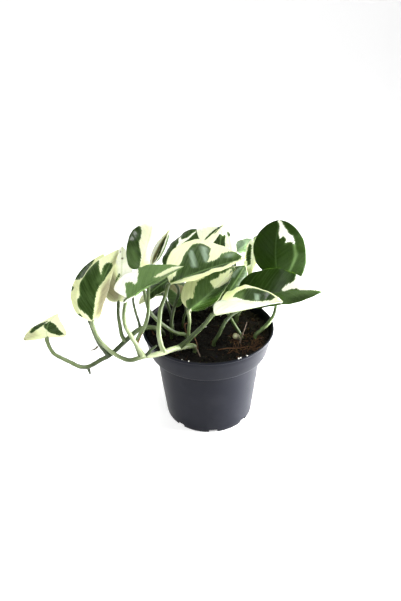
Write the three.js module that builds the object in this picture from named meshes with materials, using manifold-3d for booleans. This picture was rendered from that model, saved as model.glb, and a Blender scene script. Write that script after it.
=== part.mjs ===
// A potted pothos: a thin-walled nursery pot filled with soil, two trailing vines, ten
// single stalks and shoots that stand in the soil, and the heart-shaped blades they carry.
// Millimetres, +Z up. The origin is the middle of the pot's flat underside, and the front is -Y.
import * as THREE from 'three';
import { mergeVertices } from 'three/addons/utils/BufferGeometryUtils.js';
import Module from 'manifold-3d';

const wasm = await Module();
wasm.setup();

// ---------------------------------------------------------------- driving dimensions

const GAP = 0.35;                 // clearance between two pieces that touch
const JOINT_GAP = 0.72;           // clearance between a stalk's end and its blade

const POT = {
  height: 93.5,
  rimRadius: 60,
  beadRadius: 60.5,               // the rolled edge stands a little proud of the collar
  beadHeight: 2.4,
  collarHeight: 22.4,
  collarFootRadius: 55.2,
  neckRadius: 49.6,               // the body just below the collar
  footRadius: 42,
  footChamfer: 0.9,
  wall: 1.3,
  collarStep: 0.4,                // the collar's foot is cut back this much
  floor: 2.2,
  facets: 48,
};

const DRAIN = {                   // slots cut through the bottom corner of the pot
  count: 8,
  width: 8,
  height: 3.4,
  innerRadius: 33,
  turn: 4,                        // degrees from +X to the first slot
};

const SOIL = {
  top: 85.5,
  lump: 1.1,                      // how far the surface rises and falls
  lumpPitch: 9,
  rings: [0, 0.3, 0.55, 0.78, 1],
  rootDepth: 9,                   // how deep a stalk stands in its hole
  holeClearance: 0.9,
};

const BLADE = {
  thickness: 0.75,
  ribDepth: 0.8,                  // the midrib stands out below the blade at its base
  minHalfWidth: 0.9,
  foldFade: 3,                    // half-width at which the fold is fully open
  rows: 10,
  columns: 3,                     // on each side of the midrib
  sweep: 0.1,                     // the side veins run forward to the margin
};

const STALK = {
  facets: 6,
  vineFacets: 8,
};

const COLOUR = {
  pot: 0x3b3e45,
  soil: 0x2a211b,
  stem: 0x93a96c,
  green: 0x3f5f2c,
  dark: 0x2f4a24,
  cream: 0xe9e6bd,
  grey: 0x8a9c74,
};

// Blades. base is where the stalk meets the blade and face the way its upper side looks.
// fold and curl are degrees for the left and right half, seen from the base: fold lifts a
// half from the midrib and curl bends it on towards the margin. arch and bend bow the
// midrib upwards and sideways, as shares of the blade's length. lobe is how far the two
// lobes reach back past the base, power shapes the outline [base, tip], skew widens the
// right half, and wave is [height, waves along the margin, phase].
const LEAVES = [
  { name: 'leaf_vine_end', colour: COLOUR.green, base: [-146, -12, 91], tip: [-143, 23.5, 95],
    face: [0, -0.1, 1], width: 45, arch: 0.04, bend: -0.12, fold: [-18, -4], curl: [-4, -6],
    lobe: [-0.02, -0.02], power: [0.34, 1.3], skew: -0.2 },
  { name: 'leaf_left_front', colour: COLOUR.green, base: [-95, -44, 126.5], tip: [-73, -14, 177],
    face: [0.54, -0.81, 0.24], width: 36, arch: 0.02, bend: -0.07, fold: [-20, -34],
    curl: [-8, -10], lobe: [0.04, 0], skew: 0.06 },
  { name: 'leaf_left_rear', colour: COLOUR.dark, base: [-100, -32, 122], tip: [-88, -2, 168],
    face: [0.43, -0.8, 0.42], width: 34, arch: 0.03, bend: -0.07, fold: [-12, -20],
    curl: [-14, -14], lobe: [0.05, 0.05] },
  { name: 'leaf_left_cream', colour: COLOUR.cream, base: [-80, 0, 120.5], tip: [-74, 14, 168],
    face: [0.39, -0.89, 0.21], width: 32, arch: 0.06, fold: [-15, -15] },
  { name: 'leaf_left_pale', colour: COLOUR.grey, base: [-65, -42, 146.5], tip: [-19, -40, 173],
    face: [-0.49, -0.21, 0.85], width: 41, arch: 0.04, fold: [28, 12], curl: [-8, 18],
    lobe: [0.2, 0.02], power: [0.27, 1.1] },
  { name: 'leaf_top_left', colour: COLOUR.dark, base: [-58.5, 0, 153], tip: [-46, 14, 189],
    face: [0.32, -0.92, 0.25], width: 36, fold: [-2, -15], lobe: [0.3, 0.1], power: [0.7, 0.68],
    skew: 0.06 },
  { name: 'leaf_top_folded', colour: COLOUR.cream, base: [-47, -8, 159.5], tip: [-31.5, 12, 183.5],
    face: [0.07, -0.79, 0.61], width: 22, arch: 0.03, fold: [69, 62], curl: [0, 0],
    wave: [0.5, 2, 0], lobe: [0.04, 0.04] },
  { name: 'leaf_top_slanted', colour: COLOUR.dark, base: [-38, 18, 145.5], tip: [-8, 43, 170.3],
    face: [-0.39, -0.4, 0.83], width: 31, arch: 0.05, bend: -0.035, fold: [-2, 5],
    power: [0.73, 0.6], skew: -0.05 },
  { name: 'leaf_centre', colour: COLOUR.green, base: [-31.5, -25, 150], tip: [33, -5, 162],
    face: [-0.11, -0.31, 0.94], width: 60, arch: 0.05, bend: 0.02, fold: [22, 37], curl: [-7, -2],
    lobe: [0.03, -0.02], power: [0.58, 1.05], skew: -0.11 },
  { name: 'leaf_centre_low', colour: COLOUR.green, base: [-16, -15, 118.5], tip: [24.5, 6, 149],
    face: [0.32, -0.92, 0.21], width: 48, arch: 0.06, fold: [-12, -44], curl: [-18, 0],
    lobe: [0.07, -0.06], skew: 0.12 },
  { name: 'leaf_centre_shade', colour: COLOUR.dark, base: [13, 9.6, 112], tip: [36.5, 34.6, 137],
    face: [0.28, -0.79, 0.55], width: 35, arch: 0.06 },
  { name: 'leaf_right_white', colour: COLOUR.cream, base: [4.5, -44, 131.5], tip: [61, -37, 138],
    face: [-0.13, 0.16, 0.98], width: 44, arch: -0.01, fold: [42, 46], curl: [-8, -5], twist: -52,
    lobe: [-0.12, 0.03], power: [0.4, 0.95], skew: -0.06 },
  { name: 'leaf_right_long', colour: COLOUR.dark, base: [34, -5, 116.5], tip: [100, -8, 130],
    face: [-0.22, -0.26, 0.94], width: 57, arch: 0.14, bend: 0.02, fold: [25, 28], curl: [3, -3],
    twist: -47, lobe: [0.1, 0.12], power: [0.24, 0.95], skew: 0.07 },
  { name: 'leaf_right_tall', colour: COLOUR.green, base: [66, 24, 131], tip: [65, 27, 184],
    face: [-0.31, -0.99, 0.06], width: 50, arch: 0.05, bend: -0.05, fold: [-5, -5], curl: [-8, -8],
    lobe: [0, 0.2], power: [0.34, 0.58], skew: 0.12 },
  { name: 'leaf_back_folded', colour: COLOUR.cream, base: [-4.5, 28.7, 162.7], tip: [17, 42.7, 175.4],
    face: [0.16, -0.8, 0.57], width: 26, arch: 0, fold: [17, 60], curl: [0, 0],
    lobe: [-0.05, 0.04], power: [0.21, 1.19], skew: 0.06, wave: [0.5, 2, 0] },
  { name: 'leaf_back_dark', colour: COLOUR.dark, base: [12, 46, 141], tip: [15.5, 66, 161],
    face: [0.04, -0.68, 0.73], width: 21 },
  { name: 'leaf_back_cream', colour: COLOUR.cream, base: [23.3, 31, 150.2], tip: [20, 46, 167],
    face: [-0.08, -0.58, 0.81], width: 11, skew: 0.08 },
  { name: 'leaf_back_grey', colour: COLOUR.grey, base: [29.5, 47.7, 146], tip: [45.5, 51.7, 156],
    face: [0.63, -1.43, 0.29], width: 15.5, skew: 0.04 },
  { name: 'leaf_back_narrow', colour: COLOUR.cream, base: [45, 44, 158.3], tip: [39.6, 40, 122.6],
    face: [0.1, -0.9, 0.3], width: 14, bend: -0.05, fold: [57, -16], lobe: [-0.07, 0.09],
    power: [0.66, 0.74], skew: 0.39 },
  { name: 'leaf_under_left', colour: COLOUR.dark, base: [-34.5, 4, 139], tip: [-60.5, -12, 123],
    face: [-0.67, -0.75, 0.8], width: 19, skew: 0.34 },
  { name: 'leaf_under_small', colour: COLOUR.grey, base: [-22, 4, 116], tip: [-36, 16, 127.5],
    face: [-0.21, -0.71, 0.67], width: 23 },
  { name: 'leaf_rear_left', colour: COLOUR.dark, base: [-26, 33, 115], tip: [-64, 68, 113],
    face: [-0.2, 0.25, 0.9], width: 46, arch: 0.1, fold: [-6, -6] },
  { name: 'leaf_rear_middle', colour: COLOUR.green, base: [4, 38, 108], tip: [7, 90, 101],
    face: [0.05, 0.3, 0.9], width: 50, arch: 0.12, fold: [6, 6] },
  { name: 'leaf_rear_right', colour: COLOUR.cream, base: [44, 27, 109], tip: [67, 64, 114],
    face: [0.35, 0.1, 0.9], width: 40, arch: 0.1, fold: [-8, -4] },
  { name: 'leaf_rear_inner', colour: COLOUR.dark, base: [-6, 40, 128], tip: [-20, 74, 138],
    face: [-0.3, 0.1, 0.9], width: 36, arch: 0.08, fold: [8, 8] },
];

const LEAF_DEFAULTS = {
  arch: 0.06, bend: 0, fold: [-8, -8], curl: [-18, -18], twist: 0, wave: [0.9, 2.5, 0],
  lobe: [0.09, 0.09], power: [0.5, 0.95], skew: 0,
};

// Stalks. Each node is one leafy stem: its first stalk stands in the soil at foot [x, y],
// the others grow from it. path holds the points it passes, radius its two ends, and leaf
// the blade it ends at.
const STEMS = [
  { name: 'vine_left', facets: STALK.vineFacets, stalks: [
    { foot: [-42, -3], radius: [2.5, 1.6], steps: 26, leaf: 'leaf_vine_end',
      path: [[-46, -5, 92.5], [-52, -8, 96.8], [-59, -10.5, 98], [-64, -13, 97], [-75, -15, 87.5],
        [-90, -19, 75], [-98, -20, 71], [-111, -21, 64], [-118, -21, 64.2], [-127, -19.5, 68.6],
        [-135, -18, 72.5], [-141, -17, 76.5], [-144.5, -15.5, 83]] },
    { radius: [2, 1.3], steps: 9, leaf: 'leaf_left_cream',
      path: [[-75, -15, 87], [-78, -13, 91.5], [-79.7, -9, 101.5], [-80.8, -5, 109]] },
    { radius: [2, 1.2], steps: 9, leaf: 'leaf_left_rear',
      path: [[-91, -19.5, 75], [-93.6, -22, 82], [-96.8, -25, 92], [-98.8, -28, 103],
        [-100, -30.8, 114]] },
    { radius: [1.5, 0.9], steps: 2, path: [[-111, -21, 65], [-110.5, -21, 60], [-110, -21, 56]] },
    { radius: [1.3, 1], steps: 7,
      path: [[-61, -11, 97], [-62.5, -9, 104], [-64.5, -8, 113], [-66, -7, 126], [-65, -4, 136]] },
  ] },
  { name: 'vine_front', facets: STALK.vineFacets, stalks: [
    { foot: [-12, -28.5], radius: [2.7, 1.4], steps: 22, leaf: 'leaf_left_front',
      path: [[-15, -30.5, 91], [-24, -36.5, 94], [-31.5, -43, 96.6], [-38, -48.5, 97.6],
        [-48.6, -53, 97.8], [-55, -54, 97.6], [-66, -53, 93.6], [-73, -50.5, 94],
        [-82.6, -48.5, 100], [-91.4, -46, 110.5]] },
    { radius: [2.1, 1.4], steps: 10, leaf: 'leaf_left_pale',
      path: [[-55, -54, 98], [-59, -52, 106], [-63, -51.5, 115], [-67.4, -50, 124.7],
        [-68.4, -47.5, 134]] },
    { radius: [1.9, 1.2], steps: 14, leaf: 'leaf_top_folded',
      path: [[-57, -53.5, 97.5], [-60, -50.5, 107.5], [-58, -47, 113], [-53.5, -42, 119],
        [-50.5, -34, 127], [-50.2, -26, 137], [-49.5, -16, 150]] },
    { radius: [2.1, 1.5], steps: 10, leaf: 'leaf_centre',
      path: [[-38, -48.5, 97.5], [-40.4, -46, 104], [-41.8, -43, 113.6], [-41, -39, 123],
        [-39.6, -35, 132], [-35.6, -30, 141.5]] },
    { radius: [2.3, 1.6], steps: 8, leaf: 'leaf_right_white',
      path: [[-26, -37, 94.2], [-21.3, -37.5, 98.7], [-12, -41, 110.5], [-3, -43.5, 122]] },
    { radius: [1.9, 0.7], steps: 4, path: [[-52, -53.5, 97.8], [-49, -52, 102], [-43.5, -49.5, 105.5]] },
  ] },
  { name: 'stalk_top_left', stalks: [
    { foot: [-21, -8], radius: [2, 1.3], steps: 14, leaf: 'leaf_top_left',
      path: [[-29.7, -12, 93], [-39, -16, 103.5], [-45, -18, 111], [-51, -18.5, 121],
        [-55, -12, 137]] },
  ] },
  { name: 'stalk_centre_low', stalks: [
    { foot: [-18, -16], radius: [1.8, 1.3], steps: 7, leaf: 'leaf_centre_low',
      path: [[-17.6, -15.5, 97], [-16.6, -15, 108]] },
  ] },
  { name: 'stalk_top_slanted', stalks: [
    { foot: [-33, 2], radius: [1.7, 1.2], steps: 10, leaf: 'leaf_top_slanted',
      path: [[-34, 8, 99], [-40, 19, 113], [-44, 20, 130]] },
  ] },
  { name: 'stalk_under_left', stalks: [
    { foot: [-34, -6], radius: [1.6, 1.1], steps: 9, leaf: 'leaf_under_left',
      path: [[-33.5, -5, 100], [-30, -2, 115], [-26, 5, 128]] },
  ] },
  { name: 'stalk_under_small', stalks: [
    { foot: [-24, 8], radius: [1.5, 1], steps: 7, leaf: 'leaf_under_small',
      path: [[-22.5, 5, 98], [-20, 3, 108]] },
  ] },
  { name: 'stalk_right_long', stalks: [
    { foot: [4.5, -22], radius: [1.9, 1.4], steps: 11, leaf: 'leaf_right_long',
      path: [[9.7, -20, 97], [14.3, -17, 105.5], [19, -13, 109.5], [26, -8.5, 112.5]] },
  ] },
  { name: 'stalk_centre_shade', stalks: [
    { foot: [30, -13], radius: [1.8, 1.3], steps: 9, leaf: 'leaf_centre_shade',
      path: [[28.5, -12.5, 91], [23.5, -10, 99], [17.5, -2, 107]] },
    { foot: [27.5, -12.5], radius: [2.8, 2.7], steps: 4, path: [[25.5, -14.5, 89], [24, -16.8, 91.6]] },
  ] },
  { name: 'stalk_right_tall', stalks: [
    { foot: [43, -10], radius: [2, 1.4], steps: 12, leaf: 'leaf_right_tall',
      path: [[48.8, -8, 92], [55.5, -4, 97], [60, 0, 101.5], [62.4, 5, 107], [64.5, 17, 118.5]] },
  ] },
  { name: 'shoot_rear_left', stalks: [
    { foot: [-18, 22], radius: [2.5, 1.4], steps: 9, leaf: 'leaf_rear_left',
      path: [[-18.5, 24, 96], [-21, 28.5, 105.5]] },
    { radius: [1.9, 1.2], steps: 7, leaf: 'leaf_rear_inner',
      path: [[-18, 23, 93], [-13, 28, 105], [-8, 34, 118]] },
  ] },
  { name: 'shoot_rear_middle', stalks: [
    { foot: [5, 24], radius: [2.6, 1.5], steps: 9, leaf: 'leaf_rear_middle',
      path: [[5, 27, 96], [4.5, 33, 103]] },
    { radius: [1.9, 1.2], steps: 11, leaf: 'leaf_back_folded',
      path: [[5, 25, 94], [2, 22, 108], [-3, 20, 130], [-5.5, 24, 150]] },
    { radius: [1.9, 1.1], steps: 9, leaf: 'leaf_back_dark',
      path: [[5.5, 24, 95], [9, 27, 110], [12, 35, 125]] },
  ] },
  { name: 'shoot_rear_right', stalks: [
    { foot: [27, 16], radius: [2.6, 1.4], steps: 8, leaf: 'leaf_rear_right',
      path: [[29, 17.5, 95], [37, 21, 103]] },
    { radius: [1.9, 1.1], steps: 9, leaf: 'leaf_back_cream',
      path: [[27, 17, 93], [26, 27, 110], [25, 33, 127], [24, 34, 140]] },
    { radius: [1.9, 1.1], steps: 9, leaf: 'leaf_back_grey',
      path: [[27, 18, 92], [26, 32, 107], [26.5, 41, 122], [28, 45, 136]] },
    { radius: [1.8, 1], steps: 12, leaf: 'leaf_back_narrow',
      path: [[28, 18, 96], [31, 32, 110], [34, 44, 120], [40, 54, 132], [48, 56, 147],
        [51.5, 52, 159]] },
  ] },
];

// ---------------------------------------------------------------- small helpers

const vec = (p) => new THREE.Vector3(p[0], p[1], p[2]);
const lerp = THREE.MathUtils.lerp;

function meshOf(name, geometry, colour, roughness, metalness = 0) {
  const material = new THREE.MeshStandardMaterial({ color: colour, roughness, metalness });
  material.flatShading = true;
  const mesh = new THREE.Mesh(geometry, material);
  mesh.name = name;
  return mesh;
}

function geometryOf(points, triangles) {
  const geometry = new THREE.BufferGeometry();
  geometry.setAttribute('position', new THREE.Float32BufferAttribute(points.flat(), 3));
  geometry.setIndex(triangles.flat());
  return geometry;
}

function toManifold(geometry) {
  const bare = geometry.clone();
  bare.deleteAttribute('normal');
  bare.deleteAttribute('uv');
  const merged = mergeVertices(bare, 1e-4);
  return new wasm.Manifold(new wasm.Mesh({
    numProp: 3,
    vertProperties: new Float32Array(merged.attributes.position.array),
    triVerts: new Uint32Array(merged.index.array),
  }));
}

function fromManifold(solid) {
  const mesh = solid.getMesh();
  const geometry = new THREE.BufferGeometry();
  geometry.setAttribute('position', new THREE.BufferAttribute(new Float32Array(mesh.vertProperties), 3));
  geometry.setIndex(new THREE.BufferAttribute(new Uint32Array(mesh.triVerts), 1));
  return geometry;
}

// A solid of revolution about Z from [radius, height] points, listed from the bottom up.
function turned(profile, facets) {
  const points = profile.map(([r, z]) => new THREE.Vector2(r, z));
  return new THREE.LatheGeometry(points, facets).rotateX(Math.PI / 2);
}

// A round rod from z = bottom to z = top at [x, y].
function rod(x, y, bottom, top, radius, facets) {
  const geometry = new THREE.CylinderGeometry(radius, radius, top - bottom, facets);
  return geometry.rotateX(Math.PI / 2).translate(x, y, (bottom + top) / 2);
}

// ---------------------------------------------------------------- pot and soil

const COLLAR_Z = POT.height - POT.collarHeight;
const outerAt = (z) => lerp(POT.footRadius, POT.neckRadius, z / COLLAR_Z);
const collarAt = (z) => lerp(POT.collarFootRadius, POT.rimRadius, (z - COLLAR_Z) / POT.collarHeight);

function potMesh() {
  const step = POT.wall;
  const profile = [
    [0, 0],
    [POT.footRadius - POT.footChamfer, 0],
    [outerAt(POT.footChamfer), POT.footChamfer],
    [POT.neckRadius, COLLAR_Z],
    [POT.collarFootRadius, COLLAR_Z + POT.collarStep],
    [collarAt(POT.height - POT.beadHeight), POT.height - POT.beadHeight],
    [POT.beadRadius, POT.height - POT.beadHeight * 0.7],
    [POT.beadRadius, POT.height - 0.4],
    [POT.beadRadius - 0.5, POT.height],
    [POT.rimRadius - step, POT.height],
    [POT.collarFootRadius - step, COLLAR_Z + POT.collarStep + step],
    [POT.neckRadius - step, COLLAR_Z + step],
    [outerAt(POT.floor) - step, POT.floor],
    [0, POT.floor],
  ];
  let solid = toManifold(turned(profile, POT.facets));
  const reach = POT.footRadius + 4 - DRAIN.innerRadius;
  for (let i = 0; i < DRAIN.count; i += 1) {
    const slot = new THREE.BoxGeometry(reach, DRAIN.width, DRAIN.height * 2);
    slot.translate(DRAIN.innerRadius + reach / 2, 0, 0);
    slot.rotateZ(THREE.MathUtils.degToRad(DRAIN.turn + i * 360 / DRAIN.count));
    solid = solid.subtract(toManifold(slot));
  }
  return meshOf('pot', fromManifold(solid), COLOUR.pot, 0.45);
}

// The soil surface: crumbs and hollows as three crossing waves.
function soilHeight(x, y) {
  const k = 2 * Math.PI / SOIL.lumpPitch;
  const waves = Math.sin(0.37 * k * x + 0.9) + Math.sin(0.33 * k * y - 0.5) + Math.sin(0.5 * k * (x + y));
  return SOIL.top + SOIL.lump * waves / 2;
}

function soilMesh() {
  const rimGap = GAP + POT.wall;
  const surfaceRadius = collarAt(SOIL.top) - rimGap;
  const profile = [
    [0, POT.floor + GAP],
    [outerAt(POT.floor + GAP) - rimGap, POT.floor + GAP],
    [POT.neckRadius - rimGap, COLLAR_Z + POT.wall + GAP],
    [POT.collarFootRadius - rimGap, COLLAR_Z + POT.wall + GAP * 2 + POT.collarStep],
    ...SOIL.rings.slice().reverse().map((share) => [surfaceRadius * share, SOIL.top]),
  ];
  const geometry = turned(profile, POT.facets);
  const position = geometry.attributes.position;
  for (let i = 0; i < position.count; i += 1) {
    if (position.getZ(i) > SOIL.top - 0.1) {
      const inner = Math.hypot(position.getX(i), position.getY(i)) < surfaceRadius - 1;
      position.setZ(i, inner ? soilHeight(position.getX(i), position.getY(i)) : SOIL.top);
    }
  }
  let solid = toManifold(geometry);
  for (const stem of STEMS) {
    for (const stalk of stem.stalks.filter((one) => one.foot)) {
      const [x, y] = stalk.foot;
      const bottom = SOIL.top - SOIL.rootDepth - GAP;
      const hole = rod(x, y, bottom, SOIL.top + 8, stalk.radius[0] + SOIL.holeClearance, 10);
      solid = solid.subtract(toManifold(hole));
    }
  }
  return meshOf('soil', fromManifold(solid), COLOUR.soil, 0.95);
}

// ---------------------------------------------------------------- blades

// The blade's own axes: forward from base to tip, up out of its face, side to its right.
function framed(entry) {
  const leaf = { ...LEAF_DEFAULTS, ...entry };
  leaf.start = vec(leaf.base);
  leaf.forward = vec(leaf.tip).sub(leaf.start);
  leaf.length = leaf.forward.length();
  leaf.forward.normalize();
  leaf.up = vec(leaf.face);
  leaf.up.addScaledVector(leaf.forward, -leaf.up.dot(leaf.forward)).normalize();
  leaf.side = new THREE.Vector3().crossVectors(leaf.forward, leaf.up);
  return leaf;
}

// How wide the blade is at t, as a share of its widest place.
function outline(t, [rise, taper]) {
  const widest = rise / (rise + taper);
  const peak = widest ** rise * (1 - widest) ** taper;
  return t ** rise * (1 - t) ** taper / peak;
}

// A point of the blade: t runs from base 0 to tip 1, q from left margin -1 to right margin 1.
function bladePoint(leaf, t, q) {
  const half = leaf.width / 2;
  const wide = Math.max(BLADE.minHalfWidth, half * outline(t, leaf.power));
  const right = q < 0 ? 0 : 1;
  const sign = q < 0 ? -1 : 1;
  const reach = Math.abs(q) * wide * (1 + sign * leaf.skew);
  const open = Math.min(1, (wide - BLADE.minHalfWidth) / BLADE.foldFade);
  const angle = THREE.MathUtils.degToRad(leaf.fold[right] + leaf.curl[right] * reach / half) * open;
  const [waveHeight, waves, phase] = leaf.wave;
  const ripples = Math.sin(2 * Math.PI * waves * t + phase + 1.3 * right);
  const ripple = waveHeight * q * q * (wide / half) * ripples;
  const across = sign * reach * Math.cos(angle);
  const lift = reach * Math.sin(angle) + ripple;
  const back = leaf.lobe[right] * (1 - t) ** 3 * Math.abs(q) ** 1.3 * Math.min(1, 1.5 * wide / half);
  const along = t - back + BLADE.sweep * t * (1 - t) * Math.abs(q);
  const turn = THREE.MathUtils.degToRad(leaf.twist) * (t - 0.35);
  const bow = 4 * t * (1 - t) * leaf.length;
  return leaf.start.clone()
    .addScaledVector(leaf.forward, leaf.length * along)
    .addScaledVector(leaf.side, bow * leaf.bend + across * Math.cos(turn) - lift * Math.sin(turn))
    .addScaledVector(leaf.up, bow * leaf.arch + across * Math.sin(turn) + lift * Math.cos(turn));
}

// The blade as a closed solid: its surface moved up and down by half the thickness, both
// faces split into the same triangles, with the midrib as a keel under the middle column.
function bladeGeometry(leaf) {
  const rows = BLADE.rows;
  const columns = 2 * BLADE.columns;
  const grid = [];
  for (let i = 0; i <= rows; i += 1) {
    const t = (1 - Math.cos(Math.PI * i / rows)) / 2;
    grid.push([]);
    for (let j = 0; j <= columns; j += 1) grid[i].push(bladePoint(leaf, t, j / BLADE.columns - 1));
  }
  const at = (i, j) => grid[Math.min(rows, Math.max(0, i))][Math.min(columns, Math.max(0, j))];
  const points = [];
  for (const below of [false, true]) {
    for (let i = 0; i <= rows; i += 1) {
      for (let j = 0; j <= columns; j += 1) {
        const forward = at(i + 1, BLADE.columns).clone().sub(at(i - 1, BLADE.columns));
        const across = at(i, j + 1).clone().sub(at(i, j - 1));
        const normal = across.cross(forward).normalize();
        const rib = j === BLADE.columns ? BLADE.ribDepth * (1 - i / rows) : 0;
        const offset = below ? -BLADE.thickness / 2 - rib : BLADE.thickness / 2;
        points.push(grid[i][j].clone().addScaledVector(normal, offset).toArray());
      }
    }
  }
  return geometryOf(points, bladeTriangles(rows, columns));
}

function bladeTriangles(rows, columns) {
  const under = (rows + 1) * (columns + 1);
  const id = (i, j) => i * (columns + 1) + j;
  const triangles = [];
  const face = (a, b, c) => triangles.push([a, b, c], [under + a, under + c, under + b]);
  for (let i = 0; i < rows; i += 1) {
    for (let j = 0; j < columns; j += 1) {
      const [a, b, c, d] = [id(i, j), id(i, j + 1), id(i + 1, j + 1), id(i + 1, j)];
      if (j < columns / 2) {
        face(a, b, d);
        face(b, c, d);
      } else {
        face(a, b, c);
        face(a, c, d);
      }
    }
  }
  const rim = [];
  for (let j = 0; j < columns; j += 1) rim.push(id(0, j));
  for (let i = 0; i < rows; i += 1) rim.push(id(i, columns));
  for (let j = columns; j > 0; j -= 1) rim.push(id(rows, j));
  for (let i = rows; i > 0; i -= 1) rim.push(id(i, 0));
  rim.forEach((a, k) => {
    const b = rim[(k + 1) % rim.length];
    triangles.push([b, a, under + a], [b, under + a, under + b]);
  });
  return triangles;
}

// ---------------------------------------------------------------- stalks

// Where a stalk of this radius stops short of the blade's base, coming from point before.
function jointPoint(leaf, before, radius) {
  const heading = leaf.start.clone().sub(before).normalize();
  const slant = heading.clone().cross(leaf.forward).length();
  return leaf.start.clone().addScaledVector(leaf.forward, -(JOINT_GAP + radius * slant))
    .addScaledVector(leaf.up, -BLADE.ribDepth / 2);
}

function stalkCurve(stalk, blades) {
  const points = stalk.path.map(vec);
  if (stalk.foot) {
    const [x, y] = stalk.foot;
    const levels = [SOIL.top - SOIL.rootDepth, SOIL.top - SOIL.rootDepth / 3, SOIL.top + 2];
    points.unshift(...levels.map((z) => new THREE.Vector3(x, y, z)));
  }
  if (stalk.leaf) points.push(jointPoint(blades[stalk.leaf], points.at(-1), stalk.radius[1]));
  return new THREE.CatmullRomCurve3(points);
}

// A tapered round stalk along a curve, closed at both ends.
function stalkGeometry(stalk, facets, blades) {
  const curve = stalkCurve(stalk, blades);
  const frames = curve.computeFrenetFrames(stalk.steps);
  const points = [];
  const triangles = [];
  for (let i = 0; i <= stalk.steps; i += 1) {
    const share = i / stalk.steps;
    const centre = curve.getPointAt(share);
    const radius = lerp(stalk.radius[0], stalk.radius[1], share);
    for (let k = 0; k < facets; k += 1) {
      const turn = 2 * Math.PI * k / facets;
      points.push(centre.clone()
        .addScaledVector(frames.normals[i], radius * Math.cos(turn))
        .addScaledVector(frames.binormals[i], radius * Math.sin(turn)).toArray());
    }
  }
  for (let i = 0; i < stalk.steps; i += 1) {
    for (let k = 0; k < facets; k += 1) {
      const [a, b] = [i * facets + k, i * facets + (k + 1) % facets];
      triangles.push([a, b, b + facets], [a, b + facets, a + facets]);
    }
  }
  const last = stalk.steps * facets;
  for (let k = 1; k < facets - 1; k += 1) {
    triangles.push([0, k + 1, k], [last, last + k, last + k + 1]);
  }
  return geometryOf(points, triangles);
}

function stemMesh(stem, blades) {
  const facets = stem.facets ?? STALK.facets;
  const solids = stem.stalks.map((stalk) => toManifold(stalkGeometry(stalk, facets, blades)));
  const joined = solids.reduce((whole, one) => whole.add(one));
  return meshOf(stem.name, fromManifold(joined), COLOUR.stem, 0.5);
}

// ---------------------------------------------------------------- the plant

const blades = Object.fromEntries(LEAVES.map((entry) => [entry.name, framed(entry)]));
const plant = new THREE.Group();
plant.add(potMesh(), soilMesh());
for (const stem of STEMS) plant.add(stemMesh(stem, blades));
for (const leaf of Object.values(blades)) {
  plant.add(meshOf(leaf.name, bladeGeometry(leaf), leaf.colour, 0.4));
}

export default plant;
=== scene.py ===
"""A potted variegated pothos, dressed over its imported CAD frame.

Each piece stands for one node of the frame and keeps its form: the same curves are drawn
here with finer meshes, and veins, crumbs, roots, wax and the leaves' own patches are added.
Tables hold millimetres in the frame's axes, +Z up with the front towards -Y. Meshes are in
metres.
"""

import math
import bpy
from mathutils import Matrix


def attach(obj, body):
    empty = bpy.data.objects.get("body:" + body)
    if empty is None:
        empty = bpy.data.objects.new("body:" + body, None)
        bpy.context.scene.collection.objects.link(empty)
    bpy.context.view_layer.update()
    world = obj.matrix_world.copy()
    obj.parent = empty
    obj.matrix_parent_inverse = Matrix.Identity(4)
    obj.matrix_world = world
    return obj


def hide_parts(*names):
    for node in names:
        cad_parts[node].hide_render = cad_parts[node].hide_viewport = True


bl_info = {
    "name": "Potted Pothos",
    "version": (1, 0, 0),
    "blender": (4, 5, 0),
    "location": "View3D > Sidebar > Pothos",
    "description": "Builds a variegated pothos in a nursery pot around its packed frame",
    "category": "Add Mesh",
}

import bpy
import numpy as np
from mathutils import Matrix, Vector, noise

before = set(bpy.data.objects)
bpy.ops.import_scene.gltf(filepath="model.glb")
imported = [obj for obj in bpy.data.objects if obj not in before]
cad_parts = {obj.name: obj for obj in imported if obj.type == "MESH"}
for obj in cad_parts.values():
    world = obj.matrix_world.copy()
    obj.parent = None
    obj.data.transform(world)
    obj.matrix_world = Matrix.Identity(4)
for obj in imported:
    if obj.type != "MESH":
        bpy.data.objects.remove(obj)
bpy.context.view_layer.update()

BODY = "root"
MM = 0.001

# ---------------------------------------------------------------- sizes in millimetres

POT = {
    "height": 93.5, "rim": 60, "bead": 60.5, "bead_height": 2.4, "collar": 22.4,
    "collar_foot": 55.2, "collar_step": 0.4, "neck": 49.6, "foot": 42, "chamfer": 0.9,
    "wall": 1.3, "floor": 2.2, "sides": 144,
}
DRAIN = {"count": 8, "width": 8, "height": 3.4, "inner": 33, "turn": 4}
SOIL = {"top": 85.5, "lump": 1.1, "pitch": 9, "root_depth": 9, "gap": 0.35}
BLADE = {"half_thickness": 0.24, "rib": 0.8, "fold_fade": 3, "sweep": 0.1, "rows": 52,
         "columns": 22, "least_half": 0.9, "tip_half": 0.12}
JOINT = {"gap": 0.72, "overlap": 1.6, "sink": 0.55}
STALK = {"sides": 14, "step": 1.3, "growth_sides": 8, "growth_step": 0.9, "own_streaks": 7.3}
STUB = {"dark": -3, "cork": 0.55, "edge_cork": 0.8, "cut_cork": 0}
PEAT = {"rings": 96, "sides": 220, "crumbs": 620, "fibres": 240, "grains": 5, "reach": 55}

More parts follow.
